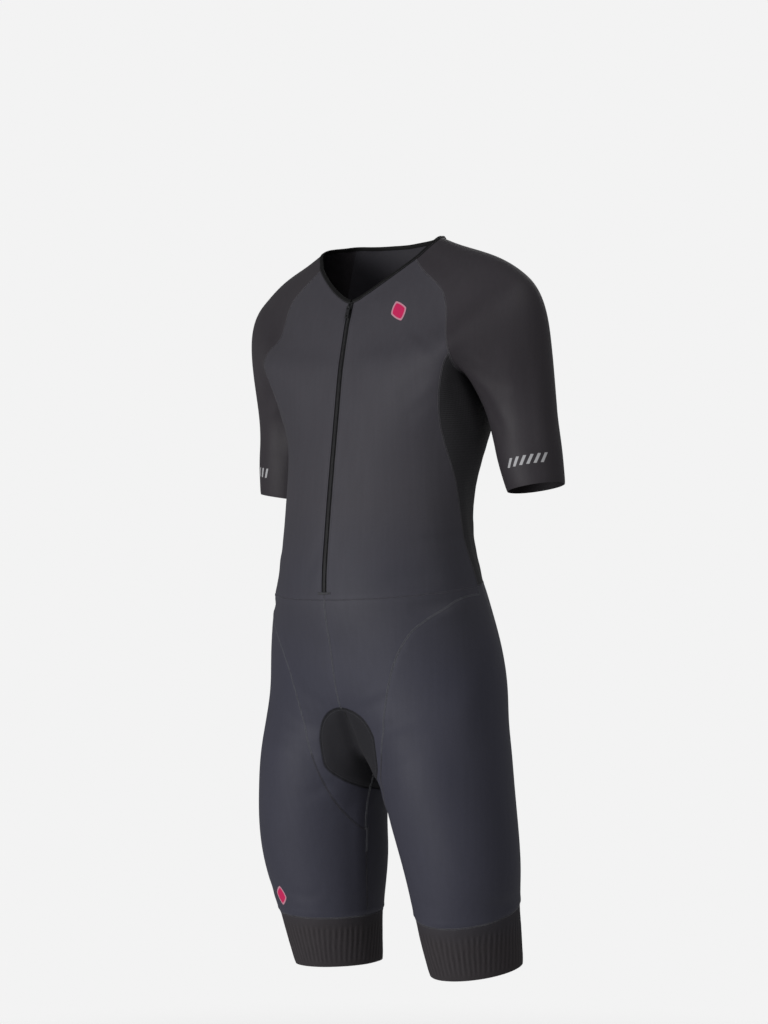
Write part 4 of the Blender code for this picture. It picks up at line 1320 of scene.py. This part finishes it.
# Across, down the zip and outward, as a matrix at the zip's top.
zip_top, zip_outward = on_centre(ZIP_TOP_Z)
across = Vector((1, 0, 0))
down = across.cross(zip_outward)
down *= -math.copysign(1, down.z)
top = Matrix.Translation(zip_top) @ Matrix((across, down, zip_outward)).transposed().to_4x4()
edgewise = top @ Matrix(((0, 0, 1, 0), (1, 0, 0, 0), (0, 1, 0, 0), (0, 0, 0, 1)))
face_outline = SLIDER_MIDDLE + (SLIDER_BODY - SLIDER_MIDDLE) * SLIDER_FACE_SHARE
lacquer = moulded("black_lacquer", (0.030, 0.030, 0.033), roughness=0.38, metallic=0.35)
slider = joined("zip_slider_cast", [
    stamped("slider_body", [both_sides(SLIDER_BODY)], SLIDER_BODY_OUT, SLIDER_BEVEL, top),
    stamped("slider_face", [both_sides(face_outline)], SLIDER_FACE_OUT, SLIDER_BEVEL, top),
    stamped("slider_bridge", [BRIDGE], BRIDGE_OUT, BRIDGE_BEVEL, edgewise),
])
dress(slider, lacquer, "zip_slider")

turns = np.arange(PULL_HOLE_POINTS) * 2 * np.pi / PULL_HOLE_POINTS
hole = np.stack([np.cos(turns), np.sin(turns)], axis=1) * PULL_HOLE_RADIUS + (0, PULL_HOLE_Y)
pull_parts = [stamped("pull_tab", [both_sides(PULL_SHAPE), PULL_WINDOW, hole], PULL_OUT, PULL_BEVEL, top)]
for number, (y, half) in enumerate(GRIPS):
    bar = ((-half, y), (half, y), (half, y + GRIP_HEIGHT), (-half, y + GRIP_HEIGHT))
    out = (PULL_OUT[1] - GRIP_RISE, PULL_OUT[1] + GRIP_RISE)
    pull_parts.append(stamped(f"pull_grip_{number}", [bar], out, GRIP_RISE / 2, top))
pull = joined("zip_pull_tab", pull_parts)
dress(pull, lacquer, "zip_pull", body="zip_pull")

# ---- The tack at the zip's foot ----
# A bar of satin stitching closes the zip's foot and holds both tapes to the shorts.
TACK_Z = -0.4910
TACK_HALF_WIDTH = 0.0105
TACK_POINTS = 24
TACK_PITCH = 0.00055
TACK_SIZES = {"Pitch": TACK_PITCH, "Length": 0.0030, "Radius": 0.00030, "Rise": 0.00080,
              "Lift": 0.00035, "Turn": math.pi / 2, "Unevenness": 0.05}


def thread(name, colour):
    """Twisted polyester thread: fine slanting plies, slightly shiny."""
    return moulded(name, colour, roughness=0.55, grain=2600.0, depth=0.00004, spread_by=0.35)


def rows_of(name, lines, material, rows):
    """Rows of stitches along the same lines, as one piece."""
    made = [grown(guide_lines(f"{name}_{number}", lines), row_of_stitches, row | {"Material": material})
            for number, row in enumerate(rows)]
    return joined(name, made) if len(made) > 1 else made[0]


grey_thread = thread("grey_thread", (0.075, 0.075, 0.085))
tack_line = as_line([on_front(x, TACK_Z)
                     for x in np.linspace(-TACK_HALF_WIDTH, TACK_HALF_WIDTH, TACK_POINTS)])
tack = rows_of("zip_tack", [tack_line], grey_thread, [TACK_SIZES])
dress(tack, grey_thread, "zip_end_tack")

# ---- The stitching ----
# Every seam is a flatlock: two rows of thread with slanting cover threads between, so that
# it lies flat on the skin. The zip, the binding and the pad have plain rows beside them.
SEAM_PITCH = 0.0030
SEAM_ASIDE = 0.00110
THREAD = {"Radius": 0.00018, "Rise": 0.00020}
SEAM_ROW = THREAD | {"Pitch": SEAM_PITCH, "Length": 0.0025, "Lift": 0.00026, "Unevenness": 0.06}
COVER_ROW = THREAD | {"Pitch": SEAM_PITCH / 2, "Length": 0.0024, "Lift": 0.00034, "Turn": 1.00,
                      "Unevenness": 0.08}
TOPSTITCH = THREAD | {"Pitch": 0.0028, "Length": 0.0022, "Lift": 0.00010, "Unevenness": 0.04}
ZIP_STITCH_X = 0.0068
ZIP_STITCH_TOP_Z = -0.0945
ZIP_STITCH_POINTS = 180
BINDING_STITCH_DOWN = 0.0046
BINDING_STITCH_LIFT = 0.00080
PAD_ROW_IN = 0.0036
PAD_CENTRE = (0.0, 0.010, -0.700)
DART_TOP_Z = -0.6535
DART_FOOT_Z = -0.6640
DART_POINTS = 12
DART_SIZES = THREAD | {"Pitch": TACK_PITCH, "Length": 0.0018, "Rise": 0.00040, "Lift": 0.00015,
                       "Turn": math.pi / 2, "Unevenness": 0.05}

# Pale thread shows down the front of the thighs and on the upper part of each inseam, which
# runs down the inside of the leg to the cuff's seam, by side. Lower down, where the inner
# thighs lie in shade, the same seams are sewn in dark thread: painted shade.
PALE_SEAM_Z = -0.709
INSEAM_ASIDE = 0.0014
INSEAM_DEG = 8.0
INSEAM_NEAR_DEG = 2.5
INSEAM_LEVELS = (
    # top_z, foot_z
    (-0.7440, -0.7660),
    (-0.8190, -0.8530),
)
INSEAM_FOOT_Z = {1: -0.9170, -1: -0.9385}
INSEAM_POINT_GAP = 0.003


def leg_middle(side, z):
    """The middle of a leg at one height."""
    rows = -np.array(THIGH + CUFF[side])
    return [-np.interp(-z, rows[:, 0], rows[:, column]) for column in (1, 2)]


def on_inseam(place):
    """Whether a point lies on the line down the inside of its leg."""
    x, y = leg_middle(1 if place.x > 0 else -1, place.z)
    degrees = math.degrees(math.atan2(y - place.y, x - abs(place.x)))
    return abs(degrees - INSEAM_DEG) < INSEAM_NEAR_DEG


def seam_group(edge):
    """Which group of seams an edge belongs to, if its seam is stitched."""
    kinds = {name.removesuffix("_left").removesuffix("_right") for name in panels_at(edge)}
    if kinds & {"zip_opening", "neck_binding"}:
        return None
    if "saddle_pad" in kinds:
        return "pad"
    if "leg_cuff" in kinds:
        return "cuff"
    if kinds <= {"front", "side", "back", "sleeve"}:
        return "upper"
    if not kinds <= {"shorts_front", "leg"}:
        return "waist"
    if edge.verts[0].co.z > PALE_SEAM_Z:
        return "shorts"
    return "inseam" if on_inseam(edge.verts[0].co.lerp(edge.verts[1].co, 0.5)) else "under"


def runs(edges):
    """Edges sorted into open runs, each as its points and their outward directions."""
    beside = {}
    for edge in edges:
        for vert in edge.verts:
            beside.setdefault(vert, []).append(edge)
    left = set(edges)
    starts = [vert for vert in beside if len(beside[vert]) != 2] or list(beside)[:1]
    found = []

    def walk(vert):
        line = [vert]
        while True:
            onward = [edge for edge in beside[line[-1]] if edge in left]
            if not onward or (len(line) > 1 and len(beside[line[-1]]) != 2):
                return line
            left.discard(onward[0])
            line.append(onward[0].other_vert(line[-1]))

    for vert in starts:
        while any(edge in left for edge in beside[vert]):
            found.append(walk(vert))
    while left:
        found.append(walk(min(left, key=lambda edge: edge.index).verts[0]))
    return [even_line(*as_line([(vert.co, vert.normal) for vert in line]), SEAM_PITCH)
            for line in found if len(line) > 2]


def sewn(piece):
    """Gives stitching or a print the suit's body, to move with it."""
    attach(piece, "suit")


edges_of = {}
for edge in form.edges:
    if len(panels_at(edge)) > 1:
        edges_of.setdefault(seam_group(edge), []).append(edge)
dark_thread = thread("dark_thread", (0.085, 0.082, 0.092))
black_thread = thread("black_thread", (0.012, 0.012, 0.013))
pale_inseams = runs(edges_of["inseam"])
# The inseams' lower runs, sewn in dark thread as painted shade on the inner thighs.
dark_inseams = []
turn = math.radians(INSEAM_DEG)
for side in (1, -1):
    inward = Vector((-math.cos(turn) * side, -math.sin(turn), 0))
    levels = [(*level, pale_inseams) for level in INSEAM_LEVELS]
    for top_z, foot_z, lines in levels + [(INSEAM_LEVELS[-1][1], INSEAM_FOOT_Z[side], dark_inseams)]:
        found = []
        for z in np.arange(top_z, foot_z, -INSEAM_POINT_GAP):
            x, y = leg_middle(side, z)
            found.append(surface.ray_cast(Vector((side * x, y, z)), inward))
        lines.append(even_line(*as_line(found), SEAM_PITCH))
for name, lines, material, slot in (
    ("upper_seams", runs(edges_of["upper"]), thread("charcoal_thread", (0.135, 0.130, 0.145)), "body_knit"),
    # The waist's thread is paler than the cloth round it, so that the stitches' own shade doesn't darken the
    # seam: painted light.
    ("waist_seam", runs(edges_of["waist"]), thread("waist_thread", (0.118, 0.116, 0.140)), "body_knit"),
    ("shorts_seams", runs(edges_of["shorts"]), thread("slate_thread", (0.175, 0.180, 0.200)), "shorts_knit"),
    # Below PALE_SEAM_Z the seams under the thighs and the inseams' lower runs take dark thread: painted
    # shade.
    ("under_seams", runs(edges_of["under"]), dark_thread, "shorts_knit"),
    ("inseams", pale_inseams, thread("pale_thread", (0.300, 0.305, 0.330)), "shorts_knit"),
    ("low_inseams", dark_inseams, dark_thread, "shorts_knit"),
    # The cuff's thread is pale, to paint the highlight on the roll just above the cuff's seam.
    ("cuff_seams", runs(edges_of["cuff"]), thread("cuff_thread_and_highlight", (0.145, 0.145, 0.160)), "ribbed_cuff"),
    ("pad_seam", runs(edges_of["pad"]), black_thread, "pad_cloth"),
):
    aside = INSEAM_ASIDE if lines is pale_inseams else SEAM_ASIDE
    sewn(rows_of(name + "_stitching", lines, material,
                 [SEAM_ROW | {"Aside": aside}, SEAM_ROW | {"Aside": -aside}, COVER_ROW]))

zip_heights = np.linspace(ZIP_STITCH_TOP_Z, ZIP_BOTTOM_Z, ZIP_STITCH_POINTS)
zip_lines = [as_line([on_front(side * ZIP_STITCH_X, z) for z in zip_heights]) for side in (1, -1)]
sewn(rows_of("zip_stitching", zip_lines, grey_thread, [TOPSTITCH]))
binding_line = (neck_path + neck_down * BINDING_STITCH_DOWN, neck_outward)
sewn(rows_of("binding_stitching", [binding_line], dark_thread,
             [TOPSTITCH | {"Lift": BINDING_STITCH_LIFT}]))

pad_lines = []
for line, facing in runs(edges_of["pad"]):
    inward = unit(np.cross(facing, np.gradient(line, axis=0)))
    inward *= np.sign(dots(inward, np.array(PAD_CENTRE) - line))[:, None]
    pad_lines.append(as_line([surface.find_nearest(Vector(point)) for point in line + inward * PAD_ROW_IN]))
sewn(rows_of("pad_stitching", pad_lines, grey_thread, [TOPSTITCH]))
dart_line = as_line([on_centre(z) for z in np.linspace(DART_TOP_Z, DART_FOOT_Z, DART_POINTS)])
sewn(rows_of("pad_dart", [dart_line], black_thread, [DART_SIZES]))

# ---- The prints ----
# Small film transfers, pressed on flat: a plain magenta lozenge with a pale rim on the chest
# and on one thigh, and a row of slanted pale bars round each sleeve above its hem.
FILM_PROUD = 0.00016
FILM_SUNK = -0.00020
FILM_SPECULAR = 0.3
PRESS_SCALE = 400.0
PRESS_SHADE = 0.90
WEAVE_SCALE = 1400.0
WEAVE_DEPTH = 0.00003
LOZENGES = (
    # place, across and up sizes, lean
    ((0.0806, -0.0709, -0.1069), 0.0115, 0.0150, 0.35),
    ((-0.1492, -0.0479, -0.9191), 0.0115, 0.0150, -0.20),
)
LOZENGE_POWER = 1.30
LOZENGE_POINTS = 96
LOZENGE_RINGS = (0.18, 0.36, 0.54, 0.72, 0.79, 0.81, 0.90, 1.0)
RIM_START = 0.80
BARS = 6
BAR_GAP_DEG = 13.0
BAR_START_DEG = {1: 82.0, -1: 98.0}
BAR_HALF_WIDTH = 0.0021
BAR_HALF_HEIGHT = 0.0066
BAR_SLANT = 0.0030
BAR_ABOVE_HEM = 0.0330
BAR_COLUMNS = 4
BAR_ROWS = 8
PRESS_FROM = 0.02


def film(name, grids, closed):
    """A thin film pressed on the cloth, from grids of (place, outward, mark) that may close."""
    solid = bmesh.new()
    mark = solid.verts.layers.float.new("rim")
    for grid in grids:
        outer, inner = ([[solid.verts.new(place + outward * lift) for place, outward, _ in row]
                         for row in grid] for lift in (FILM_PROUD, FILM_SUNK))
        for rows in (outer, inner):
            for row, given in zip(rows, grid):
                for vert, (_, _, share) in zip(row, given):
                    vert[mark] = share
        high, wide = len(grid) - 1, len(grid[0]) - 1
        for low in range(high):
            for i in range(wide + closed):
                j = (i + 1) % (wide + 1)
                corners = ((low, i), (low, j), (low + 1, j), (low + 1, i))
                solid.faces.new([outer[row][column] for row, column in corners])
                solid.faces.new([inner[row][column] for row, column in reversed(corners)])
        if closed:
            solid.faces.new(outer[0][::-1])
            solid.faces.new(inner[0])
            border = [(high, i) for i in range(wide + 1)]
        else:
            border = ([(0, i) for i in range(wide)] + [(i, wide) for i in range(high)]
                      + [(high, i) for i in range(wide, 0, -1)] + [(i, 0) for i in range(high, 0, -1)])
        for (a, b), (c, d) in zip(border, border[1:] + border[:1]):
            solid.faces.new((outer[a][b], inner[a][b], inner[c][d], outer[c][d]))
    bmesh.ops.recalc_face_normals(solid, faces=solid.faces)
    return finished(name, solid)


def level_axes(outward):
    """Across and up in the plane that touches the cloth, across being level."""
    across = Vector((0, 0, 1)).cross(outward).normalized()
    return across, outward.cross(across)


def pressed(place, outward, across, up, x, y):
    """The cloth's point and outward direction at x, y in the plane that touches it at a place."""
    return surface.ray_cast(place + across * x + up * y + outward * PRESS_FROM, -outward)[:2]


def print_film(name, colours, roughness):
    """Matt transfer film in one colour with a rim of another, a little uneven in the press."""
    material, tree, skin = new_material(name)
    at_rim = marked(tree, "rim").math("GREATER_THAN", RIM_START)
    press = soft_noise(tree, PRESS_SCALE) + 0.5
    shades = [mixed_colour(press, [value * PRESS_SHADE for value in colour], colour)
              for colour in colours]
    mixed_colour(at_rim, *shades).into(skin["Base Color"])
    (press * SHADE_ROUGHNESS + roughness).into(skin["Roughness"])
    add_node(tree, "ShaderNodeBump",
             {"Height": soft_noise(tree, WEAVE_SCALE), "Distance": WEAVE_DEPTH}).into(skin["Normal"])
    skin["Specular IOR Level"].default_value = FILM_SPECULAR
    return material


lozenges = []
for place, half_across, half_up, lean in LOZENGES:
    centre, outward, _, _ = surface.find_nearest(Vector(place))
    across, up = level_axes(outward)
    across, up = (across * math.cos(lean) + up * math.sin(lean),
                  up * math.cos(lean) - across * math.sin(lean))
    grid = []
    for share in LOZENGE_RINGS:
        row = []
        for i in range(LOZENGE_POINTS):
            turn = 2 * math.pi * i / LOZENGE_POINTS
            c, s = math.cos(turn), math.sin(turn)
            radius = share * (abs(c) ** LOZENGE_POWER + abs(s) ** LOZENGE_POWER) ** (-1 / LOZENGE_POWER)
            row.append((*pressed(centre, outward, across, up, half_across * radius * c,
                                 half_up * radius * s), share))
        grid.append(row)
    lozenges.append(grid)
badges = film("lozenge_prints", lozenges, True)
badges.data.materials.append(
    print_film("magenta_film", ((0.740, 0.020, 0.130), (0.700, 0.330, 0.420)), roughness=0.42))
sewn(badges)

bars = []
bar_z = SLEEVE[-1][2] + BAR_ABOVE_HEM
x, y = (np.interp(-bar_z, -SLEEVE[:, 2], SLEEVE[:, i]) for i in (0, 1))
for side in (1, -1):
    for number in range(BARS):
        turn = math.radians(BAR_START_DEG[side] + number * BAR_GAP_DEG)
        away = -math.cos(turn)
        direction = Vector((away * side, -math.sin(turn), SLEEVE_LEAN[0] * away))
        hit, outward, _, _ = surface.ray_cast(Vector((x * side, y, bar_z)), direction.normalized())
        bars.append([[(*pressed(hit, outward, *level_axes(outward),
                                i * BAR_HALF_WIDTH + j * BAR_SLANT, j * BAR_HALF_HEIGHT), 0.0)
                      for i in np.linspace(-1, 1, BAR_COLUMNS)] for j in np.linspace(-1, 1, BAR_ROWS)])
sleeve_bars = film("sleeve_prints", bars, False)
sleeve_bars.data.materials.append(
    print_film("pale_film", ((0.560, 0.560, 0.580),) * 2, roughness=0.45))
sewn(sleeve_bars)

# ---- The studio ----
# The suit hangs in the form it takes when worn, above a plain pale floor that fades into
# the backdrop. A large soft light stands low in front, with weaker ones beside and behind.
FLOOR_Z = -1.45
FLOOR_HALF = 8.0
FLOOR_FADE = (0.9, 2.6)
PAPER_SHADES = ((0.88, 0.88, 0.88), (0.92, 0.92, 0.92))
PAPER_ROUGHNESS = 0.9
PAPER_SCALE = 40.0
BACKDROP = (0.896, 0.896, 0.896, 1)
FILL_LIGHT = 0.15
AIM = (0.0, 0.0, -0.5)
LIGHTS = (
    # name, azimuth, elevation, distance, width, height, watts
    ("key_light", -15, -5, 3.2, 1.5, 2.2, 61),
    ("side_light", 65, 40, 3.2, 1.5, 2.2, 21),
    ("back_light", 190, 40, 3.2, 2.0, 2.0, 13),
)
CAMERA_PLACE = (1.8470, -2.3640, -0.50)
CAMERA_TILT_DEG = 92.36
CAMERA_TURN_DEG = 38.0
CAMERA_LENS = 75.2
CAMERA_SENSOR = 36.0


def blended(share, first, second, out):
    """Feeds one shader where the share is 0, and another where it is 1, into an output."""
    add_node(share.tree, "ShaderNodeMixShader", {0: share, 1: first, 2: second}).into(out.inputs[0])


floor_data = bpy.data.meshes.new("floor")
floor_data.from_pydata([(x * FLOOR_HALF, y * FLOOR_HALF, FLOOR_Z)
                        for x, y in ((-1, -1), (1, -1), (1, 1), (-1, 1))], [], [(0, 1, 2, 3)])
paper, tree, skin = new_material("studio_paper")
mixed_colour(soft_noise(tree, PAPER_SCALE) + 0.5, *PAPER_SHADES).into(skin["Base Color"])
skin["Roughness"].default_value = PAPER_ROUGHNESS
place = add_node(tree, "ShaderNodeTexCoord", output="Object")
away = add_node(tree, "ShaderNodeVectorMath", {0: place}, "Value", operation="LENGTH")
blended(away.ramp(*FLOOR_FADE), Wire(tree.nodes["Principled BSDF"].outputs[0]),
        add_node(tree, "ShaderNodeBsdfTransparent"), tree.nodes["Material Output"])
floor_data.materials.append(paper)
placed("floor", floor_data)

world = bpy.data.worlds.new("studio")
bpy.context.scene.world = world
world.use_nodes = True
tree = world.node_tree
seen = tree.nodes["Background"]
seen.inputs["Color"].default_value = BACKDROP
fill = add_node(tree, "ShaderNodeBackground", {"Color": (1, 1, 1, 1), "Strength": FILL_LIGHT})
blended(add_node(tree, "ShaderNodeLightPath", output="Is Camera Ray"), fill, Wire(seen.outputs[0]),
        tree.nodes["World Output"])

for name, azimuth, elevation, distance, width, height, watts in LIGHTS:
    lamp = bpy.data.lights.new(name, "AREA")
    lamp.shape = "RECTANGLE"
    lamp.size = width
    lamp.size_y = height
    lamp.energy = watts
    light = placed(name, lamp)
    turn = math.radians(azimuth)
    rise = math.radians(elevation)
    toward = Vector((math.sin(turn) * math.cos(rise), -math.cos(turn) * math.cos(rise), math.sin(rise)))
    light.location = Vector(AIM) + toward * distance
    light.rotation_mode = "QUATERNION"
    light.rotation_quaternion = (-toward).to_track_quat("-Z", "Y")

camera = placed("camera", bpy.data.cameras.new("camera"))
bpy.context.scene.camera = camera
camera.location = CAMERA_PLACE
camera.rotation_euler = (math.radians(CAMERA_TILT_DEG), 0, math.radians(CAMERA_TURN_DEG))
camera.data.lens = CAMERA_LENS
camera.data.sensor_width = CAMERA_SENSOR
bpy.context.scene.view_settings.view_transform = "Standard"
